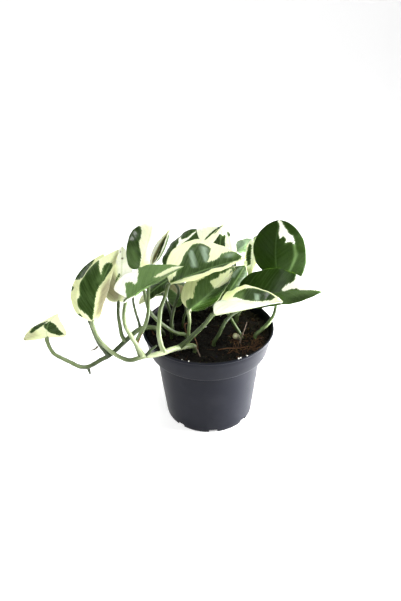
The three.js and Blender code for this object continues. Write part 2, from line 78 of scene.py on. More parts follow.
# Blades, as the frame has them. base is where the stalk meets the blade and face the way its
# upper side looks. fold and curl are degrees for the left and right half, seen from the base.
# arch and bend bow the midrib, as shares of the length; lobe is how far the lobes reach back,
# power shapes the outline, skew widens the right half and wave is [height, waves, phase].
LEAF_DEFAULTS = {
    "arch": 0.06, "bend": 0, "fold": (-8, -8), "curl": (-18, -18), "twist": 0,
    "wave": (0.9, 2.5, 0), "lobe": (0.09, 0.09), "power": (0.5, 0.95), "skew": 0,
}
LEAVES = {
    "leaf_vine_end": dict(
        base=(-146, -12, 91), tip=(-143, 23.5, 95), face=(0, -0.1, 1), width=45, arch=0.04,
        bend=-0.12, fold=(-18, -4), curl=(-4, -6), lobe=(-0.02, -0.02), power=(0.34, 1.3),
        skew=-0.2),
    "leaf_left_front": dict(
        base=(-95, -44, 126.5), tip=(-73, -14, 177), face=(0.54, -0.81, 0.24), width=36,
        arch=0.02, bend=-0.07, fold=(-20, -34), curl=(-8, -10), lobe=(0.04, 0), skew=0.06),
    "leaf_left_rear": dict(
        base=(-100, -32, 122), tip=(-88, -2, 168), face=(0.43, -0.8, 0.42), width=34, arch=0.03,
        bend=-0.07, fold=(-12, -20), curl=(-14, -14), lobe=(0.05, 0.05)),
    "leaf_left_cream": dict(
        base=(-80, 0, 120.5), tip=(-74, 14, 168), face=(0.39, -0.89, 0.21), width=32,
        fold=(-15, -15)),
    "leaf_left_pale": dict(
        base=(-65, -42, 146.5), tip=(-19, -40, 173), face=(-0.49, -0.21, 0.85), width=41,
        arch=0.04, fold=(28, 12), curl=(-8, 18), lobe=(0.2, 0.02), power=(0.27, 1.1)),
    "leaf_top_left": dict(
        base=(-58.5, 0, 153), tip=(-46, 14, 189), face=(0.32, -0.92, 0.25), width=36,
        fold=(-2, -15), lobe=(0.3, 0.1), power=(0.7, 0.68), skew=0.06),
    "leaf_top_folded": dict(
        base=(-47, -8, 159.5), tip=(-31.5, 12, 183.5), face=(0.07, -0.79, 0.61), width=22,
        arch=0.03, fold=(69, 62), curl=(0, 0), wave=(0.5, 2, 0), lobe=(0.04, 0.04)),
    "leaf_top_slanted": dict(
        base=(-38, 18, 145.5), tip=(-8, 43, 170.3), face=(-0.39, -0.4, 0.83), width=31, arch=0.05,
        bend=-0.035, fold=(-2, 5), power=(0.73, 0.6), skew=-0.05),
    "leaf_centre": dict(
        base=(-31.5, -25, 150), tip=(33, -5, 162), face=(-0.11, -0.31, 0.94), width=60, arch=0.05,
        bend=0.02, fold=(22, 37), curl=(-7, -2), lobe=(0.03, -0.02), power=(0.58, 1.05),
        skew=-0.11),
    "leaf_centre_low": dict(
        base=(-16, -15, 118.5), tip=(24.5, 6, 149), face=(0.32, -0.92, 0.21), width=48,
        fold=(-12, -44), curl=(-18, 0), lobe=(0.07, -0.06), skew=0.12),
    "leaf_centre_shade": dict(
        base=(13, 9.6, 112), tip=(36.5, 34.6, 137), face=(0.28, -0.79, 0.55), width=35),
    "leaf_right_white": dict(
        base=(4.5, -44, 131.5), tip=(61, -37, 138), face=(-0.13, 0.16, 0.98), width=44,
        arch=-0.01, fold=(42, 46), curl=(-8, -5), twist=-52, lobe=(-0.12, 0.03),
        power=(0.4, 0.95), skew=-0.06),
    "leaf_right_long": dict(
        base=(34, -5, 116.5), tip=(100, -8, 130), face=(-0.22, -0.26, 0.94), width=57, arch=0.14,
        bend=0.02, fold=(25, 28), curl=(3, -3), twist=-47, lobe=(0.1, 0.12), power=(0.24, 0.95),
        skew=0.07),
    "leaf_right_tall": dict(
        base=(66, 24, 131), tip=(65, 27, 184), face=(-0.31, -0.99, 0.06), width=50, arch=0.05,
        bend=-0.05, fold=(-5, -5), curl=(-8, -8), lobe=(0, 0.2), power=(0.34, 0.58), skew=0.12),
    "leaf_back_folded": dict(
        base=(-4.5, 28.7, 162.7), tip=(17, 42.7, 175.4), face=(0.16, -0.8, 0.57), width=26, arch=0,
        fold=(17, 60), curl=(0, 0), lobe=(-0.05, 0.04), power=(0.21, 1.19), skew=0.06,
        wave=(0.5, 2, 0)),
    "leaf_back_dark": dict(
        base=(12, 46, 141), tip=(15.5, 66, 161), face=(0.04, -0.68, 0.73), width=21),
    "leaf_back_cream": dict(
        base=(23.3, 31, 150.2), tip=(20, 46, 167), face=(-0.08, -0.58, 0.81), width=11, skew=0.08),
    "leaf_back_grey": dict(
        base=(29.5, 47.7, 146), tip=(45.5, 51.7, 156), face=(0.63, -1.43, 0.29), width=15.5, skew=0.04),
    "leaf_back_narrow": dict(
        base=(45, 44, 158.3), tip=(39.6, 40, 122.6), face=(0.1, -0.9, 0.3), width=14, bend=-0.05,
        fold=(57, -16), lobe=(-0.07, 0.09), power=(0.66, 0.74), skew=0.39),
    "leaf_under_left": dict(
        base=(-34.5, 4, 139), tip=(-60.5, -12, 123), face=(-0.67, -0.75, 0.8), width=19, skew=0.34),
    "leaf_under_small": dict(
        base=(-22, 4, 116), tip=(-36, 16, 127.5), face=(-0.21, -0.71, 0.67), width=23),
    "leaf_rear_left": dict(
        base=(-26, 33, 115), tip=(-64, 68, 113), face=(-0.2, 0.25, 0.9), width=46, arch=0.1,
        fold=(-6, -6)),
    "leaf_rear_middle": dict(
        base=(4, 38, 108), tip=(7, 90, 101), face=(0.05, 0.3, 0.9), width=50, arch=0.12,
        fold=(6, 6)),
    "leaf_rear_right": dict(
        base=(44, 27, 109), tip=(67, 64, 114), face=(0.35, 0.1, 0.9), width=40, arch=0.1,
        fold=(-8, -4)),
    "leaf_rear_inner": dict(
        base=(-6, 40, 128), tip=(-20, 74, 138), face=(-0.3, 0.1, 0.9), width=36, arch=0.08,
        fold=(8, 8)),
}

# The leaves' own colouring. Places are (t, q): t from the base 0 to the tip 1, q from the left
# margin -1 to the right margin 1. ground is the leaf's main colour and areas are painted on it
# in order: "green" and "cream" with crisp edges, and (tone, blush or painted sheen, value,
# softness in mm) with soft ones. tone takes green from dark 0 to pale grey-green 1, blush takes
# cream from white 0 over yellow 0.5 to tan 1, where its tan end also paints the shade on cream
# that turns away from the light, and the painted sheen lays a pale film on the green, a painted
# highlight of the wax's shine. rim is the width of the pale margin in mm, pucker how far the
# blade rises between its side veins, ragged how torn the edges of the patches are, veins how
# clearly the veins show, wax the strength of the glossy coat, and spots are brown specks (t, q,
# radius in mm).
LOOK_DEFAULTS = {"ground": "green", "tone": 0.2, "blush": 0.3, "rim": 0.45, "pucker": 0.22,
                 "areas": (), "spots": (), "ragged": 1.0, "veins": 0.6,
                 "wax": 0.12, "bloom": 0}
LOOKS = {
    "leaf_vine_end": dict(
        ground="cream", tone=0.1, blush=0.4, rim=0, wax=0.04, areas=(
            ("green", ((0.36, -0.82), (0.58, -0.88), (0.63, -0.57), (0.65, -0.17),
                       (0.53, -0.2), (0.45, -0.27), (0.28, -0.65))),
            ("green", ((0.5, -0.27), (0.61, 0), (0.49, 0.48), (0.3, 0.65), (0.16, 0.92),
                       (0.09, 0.7), (0.12, 0.4), (0.17, 0.1), (0.31, -0.07))),
            (("blush", 0.75, 3), ((0.05, -1.2), (0.1, -0.3), (0.35, -0.5), (0.4, -1.2))),
        ), spots=((0.1, -1, 1.1),)),
    "leaf_left_front": dict(
        ground="cream", tone=0.12, blush=0.42, rim=0.35, veins=0.5, wax=0, areas=(
            ("green", ((0.72, -1.1), (0.56, -1.1), (0.42, -1), (0.35, -0.94), (0.26, -0.8),
                       (0.21, -0.98), (0.16, -1.05), (0.11, -0.88), (0.06, -0.42), (0, -0.4),
                       (0.03, 0.03), (0.24, -0.05), (0.38, -0.08), (0.47, -0.06),
                       (0.57, 0.1), (0.68, 0.35), (0.77, 0.55), (0.8, 0.1), (0.79, -0.2),
                       (0.75, -0.4), (0.61, -0.2), (0.7, -0.6), (0.77, -0.95))),
            (("tone", 0.45, 3), ((0.5, -0.3), (0.72, -0.35), (0.66, 0), (0.5, 0))),
            # the tan blush on the right half is painted shade on the half that turns away from the
            # light
            (("blush", 1, 5), ((0.06, 0.1), (0.06, 1.1), (0.55, 1.1), (0.65, 0.5),
                               (0.45, 0.05))),
            (("blush", 0.6, 3), ((0.3, -1.1), (0.3, -0.7), (0.5, -0.85), (0.5, -1.1))),
            (("blush", 0.75, 3), ((0.6, 0.4), (0.6, 1.1), (1, 1), (1, 0), (0.86, 0))),
        )),
    "leaf_left_rear": dict(
        ground="cream", tone=0.06, blush=0.6, rim=0, areas=(
            ("green", ((0.9, -1.1), (0.85, -0.7), (0.62, -0.4), (0.52, -0.8), (0.5, -1.1))),
            ("green", ((0.43, -1.1), (0.4, -0.85), (0.34, -0.95), (0.33, -1.1))),
            ("green", ((0.07, -1.1), (0.06, -0.8), (0, -0.4), (-0.1, -1.1))),
            ("green", ((0.1, 0.2), (0.9, 0.1), (0.9, 1.1), (0.1, 1.1))),
        )),
    "leaf_left_cream": dict(
        ground="cream", tone=0.3, blush=0.1, rim=0, areas=(
            ("green", ((0.5, -0.2), (0.52, -0.1), (0.47, -0.04), (0.42, -0.18), (0.3, -0.33),
                       (0.4, -0.27))),
            (("blush", 0.95, 4), ((0, -1.1), (0, 0.3), (0.25, 0.1), (0.5, -0.3), (0.66, -0.5),
                                  (0.66, -1.1))),
        ), spots=((0.785, 0.02, 1.05), (0.9, -0.35, 0.6))),
    "leaf_left_pale": dict(
        ground="cream", tone=0.78, blush=0.02, rim=0, pucker=0.16, wax=0.2, areas=(
            ("green", ((-0.05, 0.1), (0.01, -0.12), (0.06, -0.36), (0.12, -0.64),
                       (0.2, -0.48), (0.21, -0.3), (0.26, -0.34), (0.29, -0.45),
                       (0.3, -0.6), (0.33, -0.72), (0.36, -1.1), (1, -1.1), (1, 1.1),
                       (0.24, 1.1), (0.2, 0.4))),
            ("cream", ((0.52, -0.16), (0.6, -0.25), (0.7, -0.34), (0.88, -0.62), (1, -0.6),
                       (1, 0.2), (0.76, 0.05), (0.6, -0.04))),
            (("blush", 0.4, 3), ((0.5, -0.6), (1, -0.8), (1, 0.3), (0.5, 0.1))),
            (("tone", 0.45, 3), ((0.3, 0.02), (0.3, 1.1), (1, 1.1), (1, 0.02))),
        )),
    "leaf_top_left": dict(
        ground="cream", tone=0.1, blush=0.08, rim=0, pucker=0.45, wax=0.48, areas=(
            ("green", ((-0.35, -1.2), (0, 0.05), (0.04, -0.1), (0.2, -0.12), (0.33, -0.17),
                       (0.42, -0.32), (0.53, -0.42), (0.66, -0.42), (0.76, -0.52),
                       (0.83, -0.75), (0.86, -1.1))),
            (("tone", 0.34, 3), ((-0.3, -1.1), (0.05, -0.2), (0.4, -0.5), (0.4, -1.1))),
            (("blush", 0.3, 5), ((0.3, -0.6), (0.3, 0.15), (1, 0.05), (1, -1))),
            (("blush", 0.55, 5), ((0, -0.1), (0, 0.4), (0.34, 0.3), (0.34, -0.1))),
            (("blush", 0.7, 3), ((-0.1, 0.15), (0.14, 0.1), (0.18, 0.5), (-0.1, 1.1))),
        )),
    "leaf_top_folded": dict(
        ground="cream", tone=0.02, blush=0.06, rim=0, pucker=0.05, areas=(
            ("green", ((0.06, 0.3), (0.1, 0.5), (0.24, 0.62), (0.47, 0.5), (0.7, 0.42),
                       (0.82, 0.3), (0.78, 0.08), (0.55, 0.06), (0.26, 0.2))),
            (("blush", 1, 1.4), ((0.04, -0.5), (0.9, -0.45), (0.95, 0.1), (0.04, 0.2))),
            ("green", ((0.12, 0.8), (0.4, 0.8), (0.76, 0.7), (0.85, 0.9), (0.7, 1.1),
                       (0.12, 1.1))),
            (("tone", 0.95, 1), ((0.1, 0.72), (0.4, 0.72), (0.8, 0.6), (0.9, 1.1),
                                 (0.1, 1.1))),
        ), spots=((0.68, -0.72, 0.7),)),
    "leaf_top_slanted": dict(
        tone=0.12, blush=0.1, rim=0.2, veins=0.4, wax=0, areas=(
            ("cream", ((0.4, -0.04), (0.47, -0.12), (0.56, -0.2), (0.66, -0.6),
                       (0.69, -0.6), (0.64, -0.16), (0.74, 0.05), (0.86, 0.05),
                       (0.98, 0.22), (0.92, 0.3), (0.8, 0.25), (0.69, 0.22), (0.56, 0.1),
                       (0.46, 0.02))),
        )),
    "leaf_centre": dict(
        ground="cream", tone=0.18, blush=0.4, rim=0, pucker=0.9, veins=1.2, wax=0.08, areas=(
            ("green", ((0.01, -0.22), (0.1, -0.2), (0.13, -0.32), (0.17, -0.4),
                       (0.21, -0.45), (0.26, -0.57), (0.28, -0.62), (0.33, -0.7),
                       (0.38, -0.78), (0.43, -0.85), (0.51, -0.85), (0.57, -0.82),
                       (0.62, -0.72), (0.59, -0.55), (0.56, -0.4), (0.55, -0.3),
                       (0.49, -0.2), (0.59, -0.22), (0.67, -0.3), (0.69, -0.4),
                       (0.73, -0.52), (0.78, -0.62), (0.86, -0.82), (0.91, -1.05),
                       (0.97, -1), (0.93, -0.17), (0.89, 0), (0.79, 0.33), (0.68, 0.58),
                       (0.62, 0.62), (0.57, 0.45), (0.5, 0.3), (0.45, 0.45), (0.39, 0.52),
                       (0.33, 0.45), (0.24, 0.3), (0.14, 0.12), (0.02, 0.05))),
            # painted highlights on the ridges between the side veins
            (("bloom", 0.75, 1.3), ((0.32, -0.2), (0.35, -0.62), (0.4, -0.72), (0.37, -0.15))),
            (("bloom", 0.75, 1.3), ((0.48, -0.25), (0.51, -0.75), (0.57, -0.7), (0.52, -0.2))),
            (("bloom", 0.4, 1.5), ((0.74, -0.3), (0.78, -0.52), (0.88, -0.72), (0.82, -0.3))),
            (("tone", 0.55, 3), ((0.68, -0.35), (0.74, -0.6), (0.92, -0.9), (0.88, -0.4))),
            (("tone", 0.25, 3), ((0.1, 0), (0.6, 0), (0.6, 0.6), (0.1, 0.5))),
            (("blush", 0.42, 2.5), ((0.25, -0.9), (0.3, -1.1), (0.66, -1.1), (0.6, -0.92))),
            (("blush", 0.5, 3), ((0.1, 0.6), (0.75, 0.98), (0.7, 1.1), (0.1, 1.1))),
        ), spots=((0.94, 0.1, 0.5),)),
    "leaf_centre_low": dict(
        tone=0.3, blush=0.46, rim=0.5, pucker=0.5, veins=0.5, wax=0.08, areas=(
            ("cream", ((0, -0.7), (0.02, -0.62), (0.07, -0.6), (0.12, -0.52), (0.17, -0.35),
                       (0.2, -0.38), (0.23, -0.47), (0.28, -0.55), (0.35, -0.62),
                       (0.38, -0.7), (0.52, -0.68), (0.55, -1.1), (0, -1.1))),
            ("cream", ((0.73, -0.45), (0.68, -0.3), (0.58, -0.38), (0.53, -0.38),
                       (0.53, -0.22), (0.51, -0.02), (0.6, 0.2), (0.7, 0.45), (0.8, 0.75),
                       (0.9, 0.65), (0.94, -0.3), (0.9, -0.45), (0.8, -0.34))),
            ("green", ((0.9, -0.2), (0.86, 0), (0.9, 0.15), (0.94, 0))),
            (("tone", 0.5, 2), ((0.05, -0.12), (0.4, -0.08), (0.4, 0.12), (0.05, 0.15))),
            (("tone", 0.42, 4), ((0.2, -0.1), (0.2, -0.6), (0.5, -0.6), (0.5, -0.05))),
            (("blush", 0.6, 4), ((0, -1.1), (0.5, -1.1), (0.4, -0.4), (0, -0.3))),
            (("blush", 0.42, 3), ((0.5, -0.5), (0.95, -0.5), (0.95, 0.8), (0.5, 0.3))),
            (("tone", 0.02, 4), ((0.05, 0.25), (0.7, 0.3), (0.7, 1.1), (0.05, 1.1))),
        )),
    "leaf_centre_shade": dict(
        tone=0.1, rim=0.5, pucker=0.3, wax=0.48, areas=(
            # painted highlights along the glossy stripes
            (("bloom", 0.35, 2), ((0.5, 0.45), (0.85, 0.7), (0.88, 0.55), (0.55, 0.3))),
            (("bloom", 0.4, 1.5), ((0.55, -0.45), (0.9, -0.6), (0.9, -0.35), (0.6, -0.2))),
        )),
    "leaf_right_white": dict(
        ground="cream", tone=0.05, blush=0.14, rim=0, pucker=0.4, veins=0.8, wax=0.4, areas=(
            ("green", ((0.28, -0.6), (0.33, -0.74), (0.42, -0.81), (0.5, -0.84),
                       (0.58, -0.9), (0.67, -0.93), (0.74, -0.94), (0.81, -0.93),
                       (0.87, -0.86), (0.9, -0.66), (0.82, -0.3), (0.7, -0.24),
                       (0.56, -0.26), (0.43, -0.37))),
            # a painted highlight across the green patch
            (("bloom", 0.8, 1.2), ((0.6, -0.3), (0.62, -0.62), (0.67, -0.62), (0.66, -0.3))),
            (("tone", 0.4, 2), ((0.3, -0.3), (0.3, -0.7), (0.45, -0.7), (0.45, -0.3))),
            (("tone", 0.02, 3), ((0.68, -0.3), (0.7, -0.85), (0.9, -0.8), (0.86, -0.3))),
            (("blush", 0.5, 4), ((0.1, -1.1), (0.1, -0.5), (0.5, -0.85), (1, -0.8),
                                 (1, -1.1))),
            (("blush", 0.16, 4), ((0, 0), (0, 1.1), (1, 1.1), (1, 0))),
        )),
    "leaf_right_long": dict(
        tone=0.02, blush=0.05, rim=0, pucker=0.1, veins=0.3, wax=0, areas=(
            ("cream", ((0.49, -0.07), (0.53, -0.22), (0.58, -0.35), (0.62, -0.4),
                       (0.66, -0.57), (0.68, -0.8), (0.7, -1.1), (1, -1.1), (1, -0.3),
                       (0.88, -0.07), (0.8, -0.02), (0.72, 0), (0.68, -0.15),
                       (0.6, -0.07), (0.52, -0.02))),
            (("tone", 0.12, 3), ((0.5, -0.5), (0.55, -0.9), (0.66, -0.9), (0.6, -0.45))),
            (("tone", 0.3, 4), ((0.55, 0), (1, -0.1), (1, 0.5), (0.55, 0.5))),
            (("tone", 0.18, 4), ((0.3, 0.05), (0.55, 0), (0.55, 1.1), (0.3, 1.1))),
        )),
    "leaf_right_tall": dict(
        tone=0.02, blush=0, rim=0, pucker=0.015, veins=0.08, wax=0.04, areas=(
            ("cream", ((1, -0.4), (0.93, 0.05), (0.87, 0.1), (0.78, 0.07), (0.73, 0.1),
                       (0.69, 0.15), (0.74, 0.25), (0.71, 0.33), (0.67, 0.38), (0.6, 0.33),
                       (0.62, 0.4), (0.63, 0.5), (0.61, 0.6), (0.56, 0.65), (0.66, 0.65),
                       (0.73, 0.65), (0.78, 0.5), (0.83, 0.48), (0.89, 0.38), (0.94, 0.33),
                       (1, 0.18))),
            (("tone", 0.66, 1), ((0.59, 0.65), (0.5, 0.68), (0.42, 0.75), (0.38, 0.7),
                                (0.24, 0.58), (0.12, 0.5), (0.12, 0.45), (0.25, 0.53),
                                (0.38, 0.6), (0.47, 0.6), (0.56, 0.6))),
            (("tone", 0.05, 3), ((0.6, 0.7), (0.6, 1.1), (0.2, 1.1), (0.3, 0.72))),
        )),
    "leaf_back_folded": dict(
        ground="cream", tone=0.02, blush=0.16, rim=0, pucker=0.05, areas=(
            ("green", ((0.12, -0.08), (0.4, -0.2), (0.8, -0.34), (0.98, -0.3), (0.88, -0.02),
                       (0.43, 0), (0.2, 0.04))),
            ("green", ((0.49, 0.2), (0.8, 0), (0.97, 0.4), (0.8, 0.2), (0.55, 0.35))),
            (("blush", 0.3, 2), ((0.1, 0.1), (0.9, -0.1), (1, 1.1), (0.1, 1.1))),
        )),
    "leaf_back_dark": dict(
        tone=0.12, blush=0.05, rim=0, areas=(
            ("cream", ((0.85, -1.1), (0.84, -0.7), (0.79, -0.07), (0.73, 0.28), (0.8, 0.6),
                       (0.6, 1.1), (1, 1.1), (1, -1.1))),
        )),
    "leaf_back_cream": dict(
        ground="cream", tone=0.05, blush=0.1, rim=0, areas=(
            ("green", ((1.1, -1.1), (1.1, 1.1), (0.8, 0.6), (0.71, 0.3), (0.86, -0.5))),
        )),
    "leaf_back_grey": dict(
        # the whole blade carries a painted sheen, a painted highlight of its grey-blue shine
        tone=0.6, rim=0.3, veins=0.4, wax=0.48, bloom=0.45, areas=(
            (("bloom", 0.1, 2), ((0.1, 0.05), (0.9, 0.05), (0.9, 1.1), (0.1, 1.1))),
            (("tone", 0.3, 1), ((0.2, -0.8), (0.9, -0.8), (0.9, -1.1), (0.2, -1.1))),
        )),
    "leaf_back_narrow": dict(
        ground="cream", tone=0.05, blush=0.15, rim=0, pucker=0.05, areas=(
            ("green", ((0.14, 0.75), (0.17, 0.35), (0.3, 0.3), (0.42, 0.25), (0.64, 0.15),
                       (0.7, 0.5), (0.46, 0.8), (0.28, 0.8))),
            (("blush", 0.66, 3), ((0.74, -1.1), (0.74, 1.1), (1, 1.1), (1, -1.1))),
        )),
    "leaf_under_left": dict(
        tone=0.04, rim=0.3, areas=(
            ("cream", ((0.66, 1.1), (0.69, 0.28), (0.75, -0.3), (0.81, -1.1), (1, -1.1),
                       (1, 1.1))),
        )),
    "leaf_under_small": dict(
        # a tan ground: painted shade for a cream leaf that lies in shadow under the leaves above
        tone=0.5, blush=1, rim=0.4, areas=(
            ("cream", ((0.35, 0.1), (0.3, 1.1), (1, 1.1), (1, -0.4), (0.7, -0.1))),
        )),
    "leaf_rear_left": dict(
        rim=0.6, areas=(
            ("cream", ((0.35, -1.1), (0.45, -0.55), (0.58, -0.3), (0.66, -0.5), (0.8, -0.25),
                       (0.85, -1.1))),
        )),
    "leaf_rear_middle": dict(
        tone=0.25, blush=0.35, rim=0.6, areas=(
            ("cream", ((0.2, 1.1), (0.3, 0.6), (0.42, 0.2), (0.5, 0.45), (0.62, 0.15),
                       (0.8, 0.3), (0.95, 0), (1, 1.1))),
            ("cream", ((0.3, -1.1), (0.38, -0.8), (0.5, -0.75), (0.55, -1.1))),
        )),
    "leaf_rear_right": dict(
        ground="cream", tone=0.25, rim=0, areas=(
            ("green", ((0.05, 0), (0.2, -0.5), (0.42, -0.65), (0.5, -0.3), (0.7, -0.35),
                       (0.82, 0), (0.6, 0.3), (0.45, 0.15), (0.25, 0.4))),
        )),
    "leaf_rear_inner": dict(
        tone=0.18, blush=0.25, rim=0.5, areas=(
            ("cream", ((0.5, 0.2), (0.6, 0.6), (0.8, 1.1), (1, 0.4), (0.8, 0.1))),
        )),
}

# Stems. Each entry is one leafy stem: its first stalk stands in the soil at foot, the others
# grow from it. path holds the points it passes, radius its two ends and leaf its blade. dark
# runs from foot to tip: -2 is nearly white, 0 mid green and 1 the darkest; it is the stalk's own
# pale and green colouring together with painted shade where the stalk lies in shadow. stub is a
# cut end.
STEMS = {
    "vine_left": (
        dict(foot=(-42, -3), radius=(2.5, 1.6), leaf="leaf_vine_end",
             dark=(0.8, 0.7, 0.5, 0.6, 1, 1, 0.8, 0.4, 0.3, 0.2, 0.1), path=(
            (-46, -5, 92.5), (-52, -8, 96.8), (-59, -10.5, 98), (-64, -13, 97),
            (-75, -15, 87.5), (-90, -19, 75), (-98, -20, 71), (-111, -21, 64),
            (-118, -21, 64.2), (-127, -19.5, 68.6), (-135, -18, 72.5), (-141, -17, 76.5),
            (-144.5, -15.5, 83))),
        dict(radius=(2, 1.3), leaf="leaf_left_cream", dark=(0.3, 0.65, 0.6), path=(
            (-75, -15, 87), (-78, -13, 91.5), (-79.7, -9, 101.5), (-80.8, -5, 109))),
        dict(radius=(2, 1.2), leaf="leaf_left_rear", dark=0.75, path=(
            (-91, -19.5, 75), (-93.6, -22, 82), (-96.8, -25, 92), (-98.8, -28, 103),
            (-100, -30.8, 114))),
        dict(radius=(1.5, 0.9), dark=1, path=(
            (-111, -21, 65), (-110.5, -21, 60), (-110, -21, 56))),
        dict(radius=(1.3, 1), dark=0.8, path=(
            (-61, -11, 97), (-62.5, -9, 104), (-64.5, -8, 113), (-66, -7, 126),
            (-65, -4, 136))),
    ),
    "vine_front": (
        dict(foot=(-12, -28.5), radius=(2.7, 1.4), leaf="leaf_left_front",
             dark=(0.2, 0.1, -0.3, -1, -1.4, -0.5, 0.75, -0.1, -0.4, 0, 0), path=(
            (-15, -30.5, 91), (-24, -36.5, 94), (-31.5, -43, 96.6), (-38, -48.5, 97.6),
            (-48.6, -53, 97.8), (-55, -54, 97.6), (-66, -53, 93.6), (-73, -50.5, 94),
            (-82.6, -48.5, 100), (-91.4, -46, 110.5))),
        dict(radius=(2.1, 1.4), leaf="leaf_left_pale", dark=(-0.7, -0.3, 0, 0.2), path=(
            (-55, -54, 98), (-59, -52, 106), (-63, -51.5, 115), (-67.4, -50, 124.7),
            (-68.4, -47.5, 134))),
        dict(radius=(1.9, 1.2), leaf="leaf_top_folded", dark=(0.1, 0.4, 0.2), path=(
            (-57, -53.5, 97.5), (-60, -50.5, 107.5), (-58, -47, 113), (-53.5, -42, 119),
            (-50.5, -34, 127), (-50.2, -26, 137), (-49.5, -16, 150))),
        dict(radius=(2.1, 1.5), leaf="leaf_centre", dark=(-0.8, -0.5, 0.2, 0.5, 0.4), path=(
            (-38, -48.5, 97.5), (-40.4, -46, 104), (-41.8, -43, 113.6), (-41, -39, 123),
            (-39.6, -35, 132), (-35.6, -30, 141.5))),
        dict(radius=(2.3, 1.6), leaf="leaf_right_white", dark=(0.5, 0.95, 1, 0.6), path=(
            (-26, -37, 94.2), (-21.3, -37.5, 98.7), (-12, -41, 110.5), (-3, -43.5, 122))),
        dict(radius=(1.9, 0.7), dark=1, path=(
            (-52, -53.5, 97.8), (-49, -52, 102), (-43.5, -49.5, 105.5))),
    ),
    "stalk_top_left": (
        dict(foot=(-21, -8), radius=(2, 1.3), leaf="leaf_top_left", dark=(0.4, 0.4, 0), path=(
            (-29.7, -12, 93), (-39, -16, 103.5), (-45, -18, 111), (-51, -18.5, 121),
            (-55, -12, 137))),
    ),
    "stalk_centre_low": (
        dict(foot=(-18, -16), radius=(1.8, 1.3), leaf="leaf_centre_low",
             dark=(0.4, 0, -0.5), path=(
            (-17.6, -15.5, 97), (-16.6, -15, 108))),
    ),
    "stalk_top_slanted": (
        dict(foot=(-33, 2), radius=(1.7, 1.2), leaf="leaf_top_slanted", dark=0.8, path=(
            (-34, 8, 99), (-40, 19, 113), (-44, 20, 130))),
    ),
    "stalk_under_left": (
        dict(foot=(-34, -6), radius=(1.6, 1.1), leaf="leaf_under_left", dark=0.8, path=(
            (-33.5, -5, 100), (-30, -2, 115), (-26, 5, 128))),
    ),
    "stalk_under_small": (
        dict(foot=(-24, 8), radius=(1.5, 1), leaf="leaf_under_small", dark=0.9, path=(
            (-22.5, 5, 98), (-20, 3, 108))),
    ),
    "stalk_right_long": (
        dict(foot=(4.5, -22), radius=(1.9, 1.4), leaf="leaf_right_long", dark=(0.8, 1.1, 0.7), path=(
            (9.7, -20, 97), (14.3, -17, 105.5), (19, -13, 109.5), (26, -8.5, 112.5))),
    ),
    "stalk_centre_shade": (
        dict(foot=(30, -13), radius=(1.8, 1.3), leaf="leaf_centre_shade", dark=0.7, path=(
            (28.5, -12.5, 91), (23.5, -10, 99), (17.5, -2, 107))),
        dict(foot=(27.5, -12.5), radius=(2.8, 2.7), stub=True, path=(
            (25.5, -14.5, 89), (24, -16.8, 91.6))),
    ),
    "stalk_right_tall": (
        dict(foot=(43, -10), radius=(2, 1.4), leaf="leaf_right_tall",
             dark=(0.9, 0.2, 0.6, 1.1, 1.2), path=(
            (48.8, -8, 92), (55.5, -4, 97), (60, 0, 101.5), (62.4, 5, 107),
            (64.5, 17, 118.5))),
    ),
    "shoot_rear_left": (
        dict(foot=(-18, 22), radius=(2.5, 1.4), leaf="leaf_rear_left", dark=0.7, path=(
            (-18.5, 24, 96), (-21, 28.5, 105.5))),
        dict(radius=(1.9, 1.2), leaf="leaf_rear_inner", dark=0.7, path=(
            (-18, 23, 93), (-13, 28, 105), (-8, 34, 118))),
    ),
    "shoot_rear_middle": (
        dict(foot=(5, 24), radius=(2.6, 1.5), leaf="leaf_rear_middle", dark=0.7, path=(
            (5, 27, 96), (4.5, 33, 103))),
        dict(radius=(1.9, 1.2), leaf="leaf_back_folded", dark=0.7, path=(
            (5, 25, 94), (2, 22, 108), (-3, 20, 130), (-5.5, 24, 150))),
        dict(radius=(1.9, 1.1), leaf="leaf_back_dark", dark=0.7, path=(
            (5.5, 24, 95), (9, 27, 110), (12, 35, 125))),
    ),
    "shoot_rear_right": (
        dict(foot=(27, 16), radius=(2.6, 1.4), leaf="leaf_rear_right", dark=0.7, path=(
            (29, 17.5, 95), (37, 21, 103))),
        dict(radius=(1.9, 1.1), leaf="leaf_back_cream", dark=0.7, path=(
            (27, 17, 93), (26, 27, 110), (25, 33, 127), (24, 34, 140))),
        dict(radius=(1.9, 1.1), leaf="leaf_back_grey", dark=0.7, path=(
            (27, 18, 92), (26, 32, 107), (26.5, 41, 122), (28, 45, 136))),
        dict(radius=(1.8, 1), leaf="leaf_back_narrow", dark=0.2, path=(
            (28, 18, 96), (31, 32, 110), (34, 44, 120), (40, 54, 132), (48, 56, 147),
            (51.5, 52, 159))),
    ),
}

# Blades that the frame gives its cream finish.
CREAM_LEAVES = {
    "leaf_left_cream", "leaf_left_pale", "leaf_top_folded", "leaf_right_white",
    "leaf_back_folded", "leaf_back_cream", "leaf_back_narrow", "leaf_rear_right",
}

# Small growths on the two vines: a side root on the left one and a dry sheath on the front one.
# Each is a run of points with its radii, and how dark and corky it is.
VINE_EXTRAS = {
    "vine_left": (
        dict(points=((-99, -22, 87), (-102, -23, 84.6), (-106, -24, 84)),
             radii=(1, 0.8, 0.25), dark=0.8, cork=0.5),
    ),
    "vine_front": (
        dict(points=((-60, -52.5, 106), (-57.5, -51, 112), (-54, -49.5, 119)),
             radii=(0.5, 0.7, 0.15), dark=0.3, cork=1),
    ),
}

# White grains that lie on the front of the pot's edge: (degrees round the pot, radius in mm,
# how far in from the edge).
RIM_GRAINS = ((-107, 0.8, 0.9), (-66, 0.9, 0.8), (-64, 0.6, 0.9), (-58, 0.7, 0.8))

